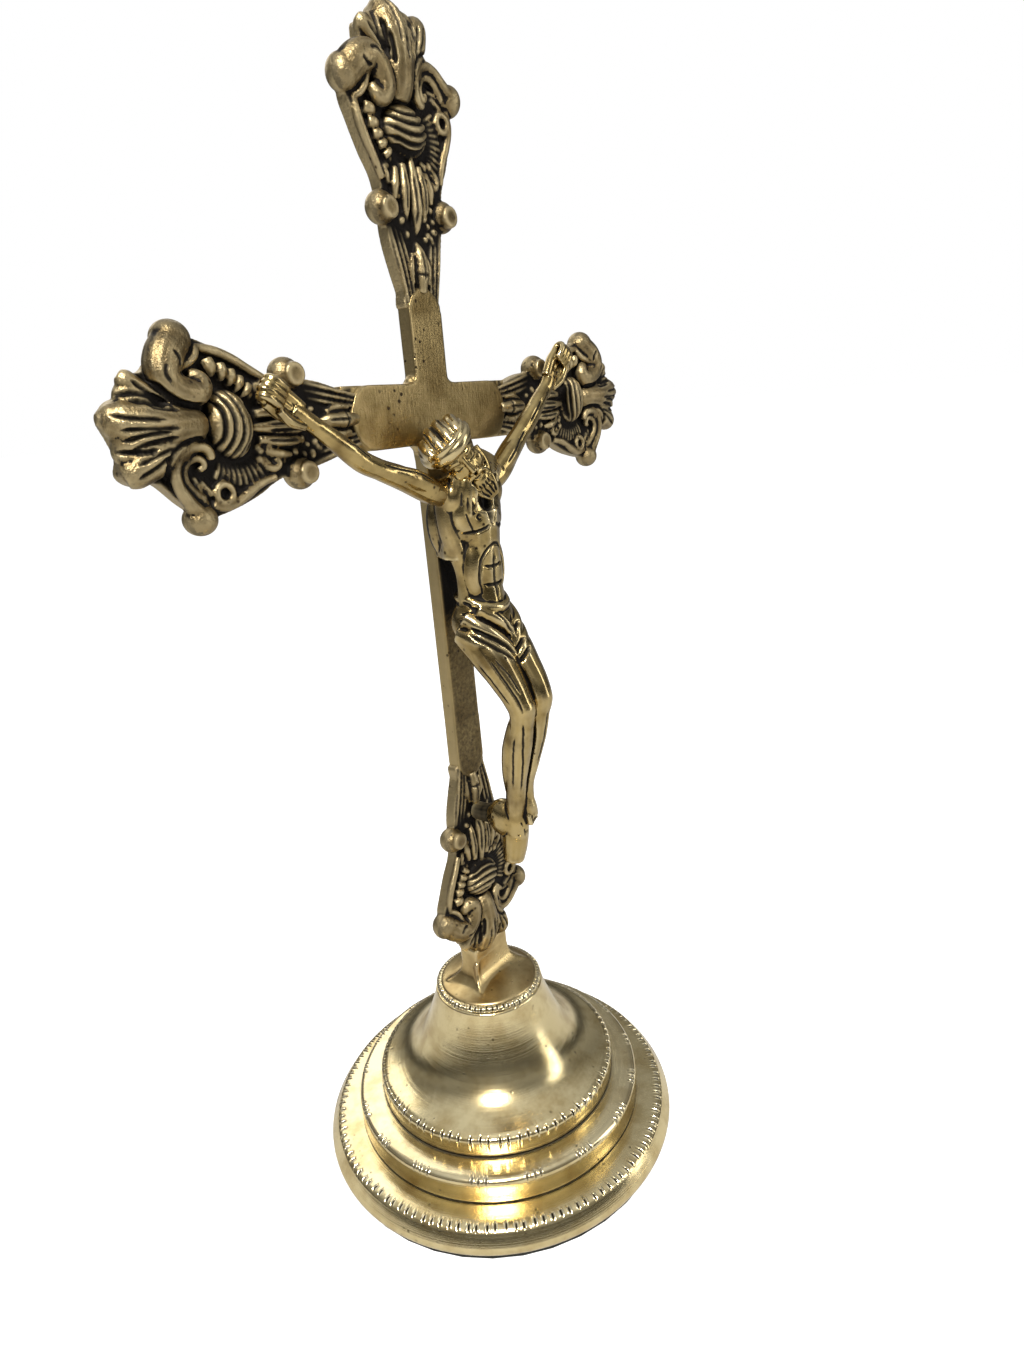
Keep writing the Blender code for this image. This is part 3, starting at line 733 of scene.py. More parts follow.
def bell_side():
    """Trumpet side of the bell, from under the top ring down to the lip."""
    knots = [(16.3, 50.0), (16.8, 47.4), (17.9, 43.8), (19.3, 40.0), (20.9, 36.4), (22.6, 33.0),
             (24.5, 30.0),
             (27.0, 27.4), (30.2, 25.5), (33.4, 24.4), (35.3, 23.9)]
    return [tuple(p) for p in through([(*k, 0) for k in knots], 1.3)[:, :2]]


def make_bell():
    foot, top, radius = BELL_FOOT, BELL_TOP, BELL_RADIUS
    outer = [(STEM_FOOT_RADIUS - 2.0, top + 0.1)]
    outer += even_path(arc(BELL_TOP_RADIUS - 1.5, top - 1.5, 1.5, 1.5, 90, 4, 9), 0.36)
    outer += bell_side()
    outer += even_path(arc(radius - 1.45, foot + 4.6, 1.42, 1.5, 84, 0, 9), 0.36)
    outer += [(radius - 0.12, foot + 2.6), (radius - 0.25, foot + 1.2), (radius - 0.05, foot)]
    inside = [(radius - 2.0, foot), (radius - 2.2, foot + 2.4), (30.2, 23.0), (25.0, 27.2), (21.0, 32.2),
              (18.2, 37.4),
              (16.0, 42.4), (14.4, 48.0), (13.4, top - WEB), (HOLE, top - WEB), (HOLE, top)]
    tier = turned("bell_turned", outer + inside, STEPS["bell"])
    hollow, bright = cut_ticks(tier, [("bell_foot", (radius - 0.6, foot + 5.5), 1.1),
                                      ("bell_top", (BELL_TOP_RADIUS - 0.5, top - 0.45), 1.0)])
    paint(tier, "hollow", np.maximum(hollow, near_height(tier, foot, 0.45) * 0.8))
    paint(tier, "wear_and_painted_highlight", bright)
    return finish_piece(tier, "base", "polished_brass", "bell")


FLARE_BLOCKS = 24                       # ever narrower blocks that make the flare
FLARE_STEP = 0.32
POST_TOP = 12.5
STEM_FRONT = -1.99


def block(centre, size):
    """Box with its centre in metres and its size in millimetres."""
    bpy.ops.mesh.primitive_cube_add(size=MM, location=centre)
    made = bpy.context.object
    made.scale = size
    return made


def make_stem():
    """Flat post that flares into a low dome on the bell, with the tongue behind the cross."""
    dome = [(0.01, 2.3), (4.0, 2.2), (7.0, 1.85), (10.0, 1.25), (12.6, 0.62), (14.3, 0.2), (14.9, -0.2),
            (14.9, -0.9),
            (0.01, -0.9)]
    parts = [turned("dome", [(r, STEM_FOOT + z) for r, z in dome], STEPS["dome"])]
    for step in range(FLARE_BLOCKS):
        grow = 4.4 * math.exp(-FLARE_STEP * step / 1.9)
        low, high = 0.4 + FLARE_STEP * step, 1.0 + FLARE_STEP * step
        if step == FLARE_BLOCKS - 1:
            high = POST_TOP
        centre = (0.6 * MM, 0.9 * MM, (STEM_FOOT + (low + high) / 2) * MM)
        parts.append(block(centre, (14.6 + 1.7 * grow, 5.8 + 1.9 * grow, high - low)))
    centre = (0, 3.65 * MM, (STEM_FOOT + TONGUE_TOP) / 2 * MM)
    parts.append(block(centre, (12.6, 2.5, TONGUE_TOP - STEM_FOOT)))
    parts.append(strokes([[(-9.4, -4.6, STEM_FOOT + 1.2, 0.5), (-7.6, -2.6, STEM_FOOT + 3.4, 0.7),
                           (-6.6, -1.8, STEM_FOOT + 8, 0.8)]]))
    made = sculpt("stem_cast", parts)
    co = points_of(made)
    front = (co[:, 1] < STEM_FRONT) & (co[:, 2] > STEM_FOOT + 9.0)
    co[front, 1] = STEM_FRONT
    put_points(made, co)
    patina_and_painted_light(made, np.zeros(len(co)), 0.15, 0.6, None, 0.6)
    return finish_piece(made, "stem", "polished_brass", "stem")


def finish_frame_pieces():
    """Pieces shown as the frame has them: the near-black ring under the base, the rod and the fasteners."""
    dress(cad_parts["base_felt"], "dark_foot_ring")
    for name in ("tie_rod", "rod_washer", "rod_nut", "corpus_upper_screw", "corpus_foot_screw",
                 "stem_screw_lower", "stem_screw_upper"):
        dress(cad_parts[name], "steel")


# ---------------------------------------------------------------- sculpting tools

def through(points, step=0.5, closed=False):
    """Points every step along a smooth line through the given points."""
    pts = np.array(points, float)
    if closed:
        pts = np.vstack([pts[-1], pts, pts[0], pts[1]])
    else:
        pts = np.vstack([2 * pts[0] - pts[1], pts, 2 * pts[-1] - pts[-2]])
    out = []
    for i in range(1, len(pts) - 2):
        p0, p1, p2, p3 = pts[i - 1:i + 3]
        count = max(2, int(np.linalg.norm((p2 - p1)[:3]) / step))
        for t in np.arange(count) / count:
            out.append(0.5 * (2 * p1 + (p2 - p0) * t + (2 * p0 - 5 * p1 + 4 * p2 - p3) * t**2
                              + (3 * p1 - p0 - 3 * p2 + p3) * t**3))
    if not closed:
        out.append(pts[-2])
    return np.array(out)


def lump(centre, radii, turn=(0, 0, 0)):
    """Rounded mass: a ball stretched and turned."""
    bpy.ops.mesh.primitive_uv_sphere_add(segments=28, ring_count=18, radius=1, location=Vector(centre) * MM)
    made = bpy.context.object
    made.scale = Vector(radii) * MM
    made.rotation_euler = [math.radians(a) for a in turn]
    return made


def strokes(paths, closed=()):
    """Tapering round strokes; every point is (x, y, z, radius)."""
    line = bpy.data.curves.new("strokes", "CURVE")
    line.dimensions = "3D"
    line.bevel_depth = MM
    line.bevel_resolution = 5
    line.use_fill_caps = True
    line.resolution_u = 7
    for number, path in enumerate(paths):
        spline = line.splines.new("BEZIER")
        spline.bezier_points.add(len(path) - 1)
        spline.use_cyclic_u = number in closed
        for knot, (x, y, z, radius) in zip(spline.bezier_points, path):
            knot.co = (x * MM, y * MM, z * MM)
            knot.radius = radius
            knot.handle_left_type = "AUTO"
            knot.handle_right_type = "AUTO"
    made = bpy.data.objects.new("strokes", line)
    bpy.context.scene.collection.objects.link(made)
    pick(made)
    bpy.ops.object.convert(target="MESH")
    return bpy.context.object


def slab(outline, low, high):
    """Flat plate from an outline, extruded upward from low to high."""
    mesh = bpy.data.meshes.new("slab")
    mesh.from_pydata([(a * MM, c * MM, low * MM) for a, c in outline], [], [range(len(outline))])
    made = bpy.data.objects.new("slab", mesh)
    bpy.context.scene.collection.objects.link(made)
    pick(made)
    bpy.ops.object.mode_set(mode="EDIT")
    bpy.ops.mesh.select_all(action="SELECT")
    bpy.ops.mesh.extrude_region_move(TRANSFORM_OT_translate={"value": (0, 0, (high - low) * MM)})
    bpy.ops.mesh.select_all(action="SELECT")
    bpy.ops.mesh.normals_make_consistent(inside=False)
    object_mode()
    return made


# voxel size and rounds of softening for each casting
SKIN = {
    "stem_cast": (0.36, 14), "cross_bars": (0.34, 2), "ornament": (0.26, 2), "figure_body": (0.31, 5),
    "figure_head": (0.19, 2), "figure_right_arm": (0.24, 2), "figure_left_arm": (0.24, 2),
}


def sculpt(name, parts):
    """Melt the parts into one skin and soften it as casting does."""
    voxel, soften = SKIN[name]
    made = join(parts, name)
    use(made, "REMESH", mode="VOXEL", voxel_size=voxel * MM, adaptivity=0.0)
    return use(made, "SMOOTH", factor=0.5, iterations=soften)


def score(obj, lines, width, depth, flat=None, cuts=None):
    """Cut tapering grooves along lines laid on the skin (negative depth raises a ridge).

    With flat set to an axis the lines are seen along it and cut only the skin that faces it.
    """
    co, normal = points_of(obj), normals_of(obj)
    if cuts is None:
        cuts = np.zeros(len(co))
    push = np.zeros(len(co))
    keep = [0, 1, 2] if flat is None else [i for i in range(3) if i != flat]
    facing = np.ones(len(co), bool) if flat is None else normal[:, flat] > 0.1
    for line in lines:
        track = through(line, 0.25)[:, :len(keep)]
        near = facing.copy()
        for column, axis in enumerate(keep):
            near &= (co[:, axis] > track[:, column].min() - 4) & (co[:, axis] < track[:, column].max() + 4)
        ids = np.where(near)[0]
        if not len(ids):
            continue
        spots = co[ids][:, keep]
        if flat is None:
            track = np.array([spots[((spots - t) ** 2).sum(1).argmin()] for t in track])
            for _ in range(4):
                track[1:-1] = (track[:-2] + 2 * track[1:-1] + track[2:]) / 4
        gap = np.sqrt(((spots[:, None, :] - track[None]) ** 2).sum(2))
        nearest = gap.argmin(1)
        along = nearest / max(1, len(track) - 1)
        end = np.clip(np.minimum(along, 1 - along) * 5 + 0.3, 0, 1)
        cut = np.clip(1 - gap.min(1) / (width * end), 0, 1) ** 0.8 * end
        push[ids] = np.maximum(push[ids], cut)
    put_points(obj, co - normal * (push * depth)[:, None])
    if depth > 0:
        return np.maximum(cuts, push)
    return cuts


def filed_sides(obj, axis, front):
    """1 on the side faces, behind the given place along the depth axis (its sign is the front's)."""
    depth = points_of(obj)[:, axis] * math.copysign(1, front)
    facing = np.abs(normals_of(obj)[:, axis])
    return np.clip((0.55 - facing) / 0.3, 0, 1) * np.clip((abs(front) - depth) / 0.3, 0, 1)


def patina_and_painted_light(obj, cuts, near=0.10, far=0.35, extra=None, weight=1.0, filed=None, painted_highlight=None):
    """Store where the dark patina gathers and where the crests are worn bright. The extra mask adds painted
    shade (on the bars also grime at the joints); the last mask adds painted highlights on top of the wear.
    """
    hollow, rub = hollows(obj, near, far)
    hollow = np.maximum(hollow * weight, np.clip(cuts * 1.6, 0, 1))
    # The extra mask is painted shade (on the bars also grime at the joints), stored with the patina.
    if extra is not None:
        hollow = np.maximum(hollow, extra)
    if filed is not None:
        hollow, rub = hollow * (1 - filed), np.maximum(rub, filed * 0.75)
    # The last mask is a painted highlight, put into the same bright colour as the worn crests.
    if painted_highlight is not None:
        rub = np.maximum(rub, painted_highlight * (1 - hollow))
    hollow, rub = smoothed(np.column_stack((hollow, rub, rub)), edges_of(obj), 2)[:, :2].T
    paint(obj, "hollow", hollow)
    paint(obj, "wear_and_painted_highlight", rub)
    return obj


# ---------------------------------------------------------------- cast ornament at the end of an arm
# One ornament is made lying flat: x runs outward along the arm, y across it, z towards the front.

ORNAMENT_EDGE = [
    (-4.0, -5.1), (0.0, -5.7), (4.0, -7.0), (11.0, -8.8), (21.8, -10.6), (28.2, -13.4), (34.0, -15.2),
    (40.5, -16.2),
    (45.2, -13.2), (50.0, -8.6), (54.0, -8.6), (56.4, -6.6), (55.6, -3.4), (56.6, 0.2), (57.6, 3.2),
    (55.6, 6.0),
    (52.6, 7.4), (52.2, 10.4), (48.0, 11.2), (44.8, 14.2), (38.4, 16.8), (33.0, 15.0), (27.7, 12.6),
    (21.9, 9.7), (11.0, 8.8), (4.0, 7.0), (0.0, 5.7), (-4.0, 5.1),
]
FLOOR = 1.3


def palmette():
    lobes = [
        [(38.9, 1.5, 1.0, 2.6), (41.5, 1.4, 1.7, 3.6), (46, 1.4, 1.8, 4.3), (51, 2.0, 1.4, 4.6),
         (54.6, 2.8, 0.7, 3.9),
         (56.8, 3.3, 0.2, 2.6), (58.2, 3.5, 0.0, 0.9)],
        [(41, -0.2, 1.2, 2.6), (46, -1.8, 1.7, 3.2), (50.5, -4.4, 1.3, 3.6), (54.0, -6.3, 0.7, 3.1),
         (55.4, -6.9, 0.1, 2.3)],
        [(42.5, 3.6, 1.4, 2.1), (46.5, 5.6, 1.4, 2.3), (50.2, 8.0, 1.0, 2.2), (52.0, 9.8, 0.6, 2.0),
         (52.6, 10.3, 0.1, 1.4)],
    ]
    return [strokes(lobes), lump((43.5, 1.2, 1.3), (5.6, 5.0, 3.8)),
            lump((48.2, -0.4, 1.0), (8.6, 7.2, 3.9)),
            lump((49.4, 5.0, 0.6), (5.8, 4.4, 3.1), (0, 0, 40)), lump((53.2, -2.4, 0.5), (3.6, 3.4, 2.9))]


def hook():
    tube = [(41.6, 16.0, 1.0, 3.4), (43.9, 13.6, 1.8, 3.6), (45.0, 10.9, 2.2, 3.5), (44.2, 8.7, 2.5, 3.1),
            (42.0, 7.3, 2.8, 2.8), (39.6, 7.1, 3.0, 2.6), (38.2, 8.3, 3.0, 2.1), (38.9, 9.8, 2.8, 1.5),
            (40.3, 10.2, 2.4, 1.0)]
    lip = [(37.4, 15.4, 1.6, 0.6), (37.7, 14.2, 2.2, 0.75), (39.2, 12.8, 2.7, 0.8), (41.4, 11.8, 3.0, 0.75),
           (42.6, 10.8, 3.0, 0.5)]
    return [strokes([tube, lip]), lump((41.4, 16.6, 0.6), (3.8, 3.5, 3.6))]


def volute():
    bands = [
        [(42.4, -15.6, 1.4, 1.9), (44.8, -12.4, 2.1, 1.4), (46.6, -9, 2.6, 1.15), (46.6, -6.1, 2.9, 1.1),
         (44.9, -3.7, 3.1, 1.05), (41.7, -2.7, 3.2, 1.0), (39.4, -3.4, 3.0, 1.0), (38.5, -5.1, 2.7, 0.85)],
        [(41.4, -12.6, 1.4, 1.2), (44, -10.2, 1.9, 1.0), (44.9, -8.1, 2.2, 0.9), (44.5, -6.1, 2.3, 0.85),
         (42.8, -4.9, 2.4, 0.8), (41.0, -5.0, 2.4, 0.75), (40.3, -6.2, 2.3, 0.7), (41.4, -7.0, 2.1, 0.6)],
        [(40.9, -14.0, 1.2, 1.1), (42.0, -9.9, 1.3, 0.8), (42.4, -8.2, 1.3, 0.5)],
        [(41.3, -9.3, 1.2, 0.8), (39.3, -11.9, 1.4, 0.9)],
    ]
    ring = [(36.6 + 1.8 * math.cos(a), -12.0 + 1.8 * math.sin(a), 1.9, 0.8)
            for a in np.radians(range(0, 360, 60))]
    return [strokes(bands + [ring], closed=(4,)), lump((42.2, -16.3, 0.6), (3.5, 3.2, 3.3))]


def egg():
    return [lump((32.9, 0.9, 1.1), (5.3, 6.7, 4.5), (0, 0, -6))]


EGG_MIDDLE = (33.0, 1.0)
EGG_LOBES = [(35.6, 12.9, 1.25), (32.9, 12.1, 1.1), (30.7, 11.0, 1.0), (28.8, 9.7, 0.9), (27.0, 8.2, 0.8)]
FAN_MIDDLE = (32.6, 0.6)
FAN_RAYS = 13


def rims():
    """Rims on both sides of the egg, the row of lobes and the fan of rays."""
    paths = [
        [(37.8, 15.2, 1.4, 0.8), (33.7, 14.5, 1.6, 1.0), (30, 13.1, 1.7, 1.0), (26.5, 11.2, 1.7, 0.9),
         (22.6, 9.2, 1.5, 0.8)],
        [(39.5, -14.0, 1.3, 1.0), (36.2, -14.4, 1.5, 1.1), (31.9, -13.0, 1.6, 1.1), (27.9, -11.0, 1.6, 1.0),
         (23.6, -10.0, 1.4, 0.8)],
    ]
    for x, y, size in EGG_LOBES:
        start = np.array((x, y))
        away = start - EGG_MIDDLE
        away = away / np.linalg.norm(away)
        paths.append([(*start, 2.0, size), (*(start - away * 1.4), 2.5, size),
                      (*(start - away * 3.0), 1.7, size * 0.4)])
    for k in range(FAN_RAYS):
        angle = math.radians(-150 + k * 7.4)
        way = np.array([math.cos(angle), math.sin(angle)])
        outer = np.array(FAN_MIDDLE) + way * (12.2 - 0.1 * k)
        inner = np.array(FAN_MIDDLE) + way * 7.5
        paths.append([(*outer, 1.45, 0.50), (*((outer + inner) / 2), 1.6, 0.46), (*inner, 1.3, 0.3)])
    return [strokes(paths)]


def knobs():
    made = []
    for side in (1, -1):
        made.append(lump((16.9, side * 10.0, 0.7), (3.6, 3.5, 3.4)))
        bpy.ops.mesh.primitive_cone_add(vertices=40, radius1=2.7 * MM, radius2=2.3 * MM, depth=2.4 * MM,
                                        location=Vector((16.5, side * 9.9, 3.2)) * MM)
        made.append(bpy.context.object)
    return made


BEADS = 34


def throat():
    """Fine ridges, bud and hanging leaves between the plain face and the egg."""
    paths = []
    for side in (1, -1):
        for k in range(3):
            shift = k * 1.55
            paths.append([(13.6 - 0.5 * k, side * (8.3 - shift), 1.1, 0.42),
                          (7.4, side * (7.0 - shift * 0.95), 1.6, 0.48),
                          (0.6, side * (5.5 - shift * 0.8), 1.65, 0.42),
                          (-4.0, side * (4.6 - shift * 0.7), 1.5, 0.36)])
    paths += [
        [(-0.4, 0.2, 1.6, 1.3), (4.2, 0.2, 2.2, 1.8), (8, 0.3, 2.0, 1.5), (10.6, 0.3, 1.3, 0.4)],
        [(1.6, -2.4, 1.4, 0.7), (5, -2.7, 1.8, 0.8), (8.2, -1.7, 1.6, 0.5)],
        [(1.6, 2.8, 1.4, 0.7), (5, 3.0, 1.8, 0.8), (8.2, 2.1, 1.6, 0.5)],
        [(27.4, 0.0, 1.8, 0.8), (22, -0.2, 2.3, 1.35), (17, -0.2, 2.3, 1.6), (13.6, -0.1, 1.8, 0.9),
         (12.0, 0, 1.3, 0.3)],
        [(26.4, 2.6, 1.7, 0.8), (21.6, 3.0, 2.2, 1.25), (17.4, 3.0, 1.9, 1.0), (14.8, 2.6, 1.3, 0.3)],
        [(26.4, -2.4, 1.7, 0.8), (21.6, -3.0, 2.2, 1.2), (17.4, -3.1, 1.9, 1.0), (15.0, -2.7, 1.3, 0.3)],
        [(25.4, 5.0, 1.7, 0.7), (21.8, 5.9, 2.0, 1.1), (19.0, 6.0, 1.6, 0.6)],
        [(25.2, -4.6, 1.7, 0.7), (21.8, -5.6, 2.0, 1.0), (19.0, -5.9, 1.6, 0.6)],
        [(26.2, -7.4, 1.4, 0.6), (24.2, -8.3, 1.8, 0.8), (22.6, -7.4, 1.9, 0.8), (23.4, -6.4, 1.9, 0.6)],
        [(25.4, 8.2, 1.4, 0.6), (23.4, 8.0, 1.7, 0.8), (21.8, 7.4, 1.5, 0.5)],
    ]
    rng = random.Random(11)
    beads = []
    for _ in range(BEADS):
        size = rng.uniform(0.5, 0.95)
        spot = (rng.uniform(10.5, 27.0), rng.choice((-1, 1)) * rng.uniform(2.8, 7.8), rng.uniform(1.2, 1.6))
        beads.append(lump(spot, (size * 1.3, size, size), (0, 0, rng.uniform(0, 180))))
    return [strokes(paths)] + beads


EGG_RIBS = [
    [(36.9, 6.0), (35.6, 3.4), (35.9, -1.1), (37.2, -3.6)],
    [(35.2, 7.2), (33.7, 3.2), (34.0, -1.2), (36.0, -5.2)],
    [(33.2, 7.4), (31.6, 2.8), (32.0, -1.6), (34.4, -5.8)],
    [(31.2, 7.0), (29.7, 2.4), (30.1, -1.9), (32.6, -5.8)],
    [(29.6, 5.8), (28.3, 1.7), (28.8, -2.0), (30.9, -4.9)],
]
LEAF_VEINS = [
    [(57.0, 3.9), (53.8, 3.1), (48.2, 2.5)], [(56.0, 1.2), (51.5, 1.0), (45.8, 0.9)],
    [(55.6, -0.7), (51.6, 0.0), (47.2, 0.2)], [(54.5, -2.3), (50.6, -1.3), (46.2, -0.7)],
    [(53.9, -4.9), (50.3, -3.5), (47.0, -2.6)], [(54.4, -7.4), (50.8, -5.6), (48.0, -3.9)],
    [(51.8, 9.6), (49.2, 7.4), (45.8, 5.3)], [(50.6, 5.2), (47.6, 4.6), (44.6, 4.2)],
    [(53.0, 6.0), (49.5, 5.7), (46.5, 5.0)],
]
DEEP_LINES = [
    [(54.8, 7.2), (51.5, 7.3), (48.0, 6.2), (45.4, 5.0)], [(56.8, -2.4), (53.0, -2.9), (50.0, -2.5)],
    [(48.6, 9.6), (46.4, 7.0), (43.6, 5.2), (40.6, 4.6), (38.4, 4.8)],
    [(48.4, -8.8), (48.6, -6.0), (47.0, -3.2), (44.0, -1.7), (40.8, -1.4), (38.6, -2.0)],
]
FINE_LINES = [
    [(14.0, 0.6), (18.5, 0.5), (24.5, 0.4)], [(14.0, -0.9), (18.5, -1.0), (24.5, -0.8)],
    [(16.4, 3.0), (20.6, 3.1), (25.0, 2.8)],
    [(16.4, -3.1), (20.6, -3.0), (25.0, -2.6)], [(8.8, 0.3), (5.0, 0.3), (2.0, 0.3)],
    [(3.4, -1.6), (3.3, 0.2), (3.4, 1.9)],
    [(43.8, 14.4), (42.8, 13.0), (42.6, 11.4)], [(45.6, 12.2), (46.2, 10.4), (45.4, 8.6)],
]


def make_ornament():
    edge = through(ORNAMENT_EDGE, 0.8, closed=True)
    parts = [slab(edge[:, :2], -2.0, FLOOR)]
    for group in (palmette, hook, volute, egg, rims, knobs, throat):
        parts += group()
    made = sculpt("ornament", parts)
    cuts = None
    for lines, width, depth in ((DEEP_LINES, 0.62, 0.9), (LEAF_VEINS, 0.55, 0.9),
                                (EGG_RIBS, 0.62, 0.95), (FINE_LINES, 0.45, 0.5)):
        cuts = score(made, lines, width, depth, flat=2, cuts=cuts)
    use(made, "SMOOTH", factor=0.35, iterations=1)
    co, normal = points_of(made), normals_of(made)
    # Painted shade on the floor between the raised masses and on the low walls inside the edge.
    floor = np.clip((FLOOR + 0.9 - co[:, 2]) / 0.7, 0, 1) * np.clip((normal[:, 2] - 0.25) * 2.2, 0, 1)
    steep = np.clip((FLOOR + 2.3 - co[:, 2]) / 1.4, 0, 1) * (co[:, 2] > FLOOR - 0.3)
    steep = steep * np.clip(0.75 - abs(normal[:, 2]), 0, 1)
    inner = np.clip((inset_from(edge, co) - 0.8) / 0.8, 0, 1)
    patina_and_painted_light(made, cuts, 0.07, 0.24, np.maximum(floor, steep * inner * 1.3), 1.15,
            filed_sides(made, 2, FLOOR - 0.1))
    return made


BATCH = 20000                           # points handled at once


def inset_from(edge, co):
    """How far each point lies from the ornament's edge, seen from the front."""
    ring = edge[::2, :2]
    gaps = []
    for start in range(0, len(co), BATCH):
        part = co[start:start + BATCH, :2]
        gaps.append(np.sqrt(((part[:, None] - ring[None]) ** 2).sum(2)).min(1))
    return np.concatenate(gaps)


def stood_up(x_row, z_row):
    """Turn for a casting made lying flat, so that its front faces -y."""
    return Matrix((x_row, (0, 0, -1, 0), z_row, (0, 0, 0, 1)))


def place_ornaments():
    """Four castings from one pattern; the left and bottom ones are mirror images."""
    pattern = make_ornament()
    reach = ARM_REACH - ORNAMENT
    settings = {
        "ornament_right": stood_up((1, 0, 0, reach), (0, 1, 0, CROSSING)),
        "ornament_left": stood_up((-1, 0, 0, -reach), (0, 1, 0, CROSSING)),
        "ornament_top": stood_up((0, -1, 0, 0), (1, 0, 0, CROSS_TOP - ORNAMENT)),
        "ornament_bottom": stood_up((0, -1, 0, 0), (-1, 0, 0, CROSS_FOOT + ORNAMENT)),
    }
    for name, setting in settings.items():
        pick(pattern)
        bpy.ops.object.duplicate()
        made = bpy.context.object
        made.name = name
        made.data.name = name
        setting.translation = setting.translation * MM
        made.data.transform(setting)
        if setting.determinant() < 0:
            made.data.flip_normals()
        finish_piece(made, "ornament", "antique_brass", "cross")
    bpy.data.objects.remove(pattern)


# ---------------------------------------------------------------- plain bars of the cross

def pointed_end(half, run, tip):
    """Side of a bar that ends in a rounded point, from its shoulder to its tip."""
    return [(half, run), (half * 0.97, run + 2.0), (half * 0.72, run + 4.2), (half * 0.35, run + 5.6),
            (0, tip)]


def bar_outline():
    """Outline of the plain cross in (x, height above the crossing)."""
    up, side, down = 22.6, 21.4, 92.8
    quarter = [(5.5, 9.6), (5.7, 8.2), (6.7, 7.4), (8.4, 7.1), (12, 7.2)]
    arm = quarter + [(side - 2, 7.25)] + [(x, z) for z, x in pointed_end(7.25, side, side + 6.4)]
    lower = [(x, -z) for x, z in reversed(arm[:-1])]
    foot = [(5.25, -14), (5.1, -40), (5.0, -70)] + [(x, -z) for x, z in pointed_end(5.2, down, down + 6.2)]
    head = [(x, z) for x, z in reversed(pointed_end(5.5, up, up + 6.4))]
    half = head + arm + lower + foot
    return half + [(-x, z) for x, z in reversed(half[1:-1])]


def make_bars():
    full = [(-5.5, 7.25), (-5.5, 30), (5.5, 30), (5.5, 7.25), (29, 7.25), (29, -7.25), (5.25, -7.25),
            (5.1, -101),
            (-5.1, -101), (-5.25, -7.25), (-29, -7.25), (-29, 7.25)]
    parts = [slab(bar_outline(), -2.0, 2.15), slab(full, -2.0, FLOOR - 0.05)]
    for x, z in ((5.9, 7.6), (-5.9, 7.6), (5.7, -7.6), (-5.7, -7.6)):
        parts.append(lump((x, z, 0), (1.3, 1.3, 1.6)))
    made = sculpt("cross_bars", parts)
    made.data.transform(stood_up((1, 0, 0, 0), (0, 1, 0, CROSSING * MM)))
    made.data.update()
    co = points_of(made)
    high = co[:, 2] - CROSSING
    # Grime at the bar ends, on the sides and back where the ornaments join.
    ends = np.maximum(np.maximum(np.abs(co[:, 0]) - 24.5, high - 25.5), -94.5 - high)
    joint_dirt_and_painted_shade = np.clip(ends / 2.0, 0, 1) * 0.75 * (co[:, 1] > -1.9)
    # Painted shade on the front of the post below the crossing, under the figure, darkest behind its torso.
    post = (normals_of(made)[:, 1] < -0.5) * (np.abs(co[:, 0]) < 5.6)
    joint_dirt_and_painted_shade = np.maximum(joint_dirt_and_painted_shade, post * np.clip((-9 - high) / 6, 0, 1) * 0.64)
    joint_dirt_and_painted_shade = np.maximum(joint_dirt_and_painted_shade, post * np.clip(1.4 - np.abs(high + 42) / 16, 0, 1) * 0.86)
    patina_and_painted_light(made, np.zeros(len(co)), 0.2, 0.6, joint_dirt_and_painted_shade, 0.3, filed_sides(made, 1, -1.75))
    return finish_piece(made, "bars", "antique_brass", "cross")


# ---------------------------------------------------------------- figure

def lifted(points):
    """Heights given from the crossing, moved to the frame's floor."""
    return [(p[0], p[1], p[2] + CROSSING, *p[3:]) for p in points]


def mass(centre, radii, turn=(0, 0, 0)):
    return lump((centre[0], centre[1], centre[2] + CROSSING), radii, turn)


def mirrored(paths):
    """The paths and their mirror images."""
    return paths + [[(-x, y, z, r) for x, y, z, r in path] for path in paths]


def boss_block():
    """Metal left between the chest and the post, as wide as both."""
    outline = [(-5.4, -2.0), (-9.3, -8.6), (-8.4, -12.0), (0, -13.4), (8.4, -12.0), (9.3, -8.6),
               (5.4, -2.0)]
    return slab(outline, CROSSING - 35.0, CROSSING - 18.6)


def torso_parts():
    paths = [
        [(0, -10.6, -24, 7.2), (0, -11.2, -33, 6.2), (0.2, -11.6, -42, 5.4), (0, -11.4, -50, 6.8)],
        [(-0.6, -11, -13, 3.2), (0, -10, -19, 3.8)],
        [(-1, -9.8, -15, 2.8), (-6, -9.6, -17.6, 3.0), (-11, -9.6, -18.2, 3.1)],
        [(1, -9.8, -15, 2.8), (6, -9.6, -17.2, 3.0), (11, -9.7, -16.8, 3.1)],
        [(0, -6, -23.5, 4.6), (0, -2.2, -24, 4.4)],
    ]
    paths += mirrored([[(-7.6, -9.4, -19.5, 3.0), (-7.6, -9.8, -28, 2.8), (-5.0, -10.8, -38, 2.4),
                        (-4.6, -11.0, -47, 2.6)]])
    masses = [
        mass((0, -10.4, -25.5), (9.2, 6.6, 8.8)), mass((-4.2, -14.0, -24.0), (5.2, 2.2, 5.8), (0, 0, -14)),
        mass((3.6, -13.8, -23.4), (4.8, 2.2, 5.8), (0, 0, 14)), mass((0.4, -13.4, -39.5), (5.2, 3.6, 9.0)),
        mass((-6.4, -11.2, -20.0), (4.2, 3.6, 4.8)), mass((5.8, -11.6, -19.4), (4.0, 3.8, 4.8)),
        mass((-3.4, -13.0, -38.0), (3.6, 3.0, 8.4)), mass((3.6, -13.0, -38.0), (3.4, 3.0, 8.4)),
        mass((-2.2, -5.0, -26.5), (6.6, 5.4, 10.0)), mass((-5.4, -8.4, -27.0), (3.6, 4.2, 8.8)),
        mass((0, -11, -51), (8.6, 7.0, 7.0)),
        mass((-3.2, -7.4, -26.0), (5.8, 4.6, 10.4)), boss_block(),
    ]
    return [strokes([lifted(p) for p in paths])] + masses


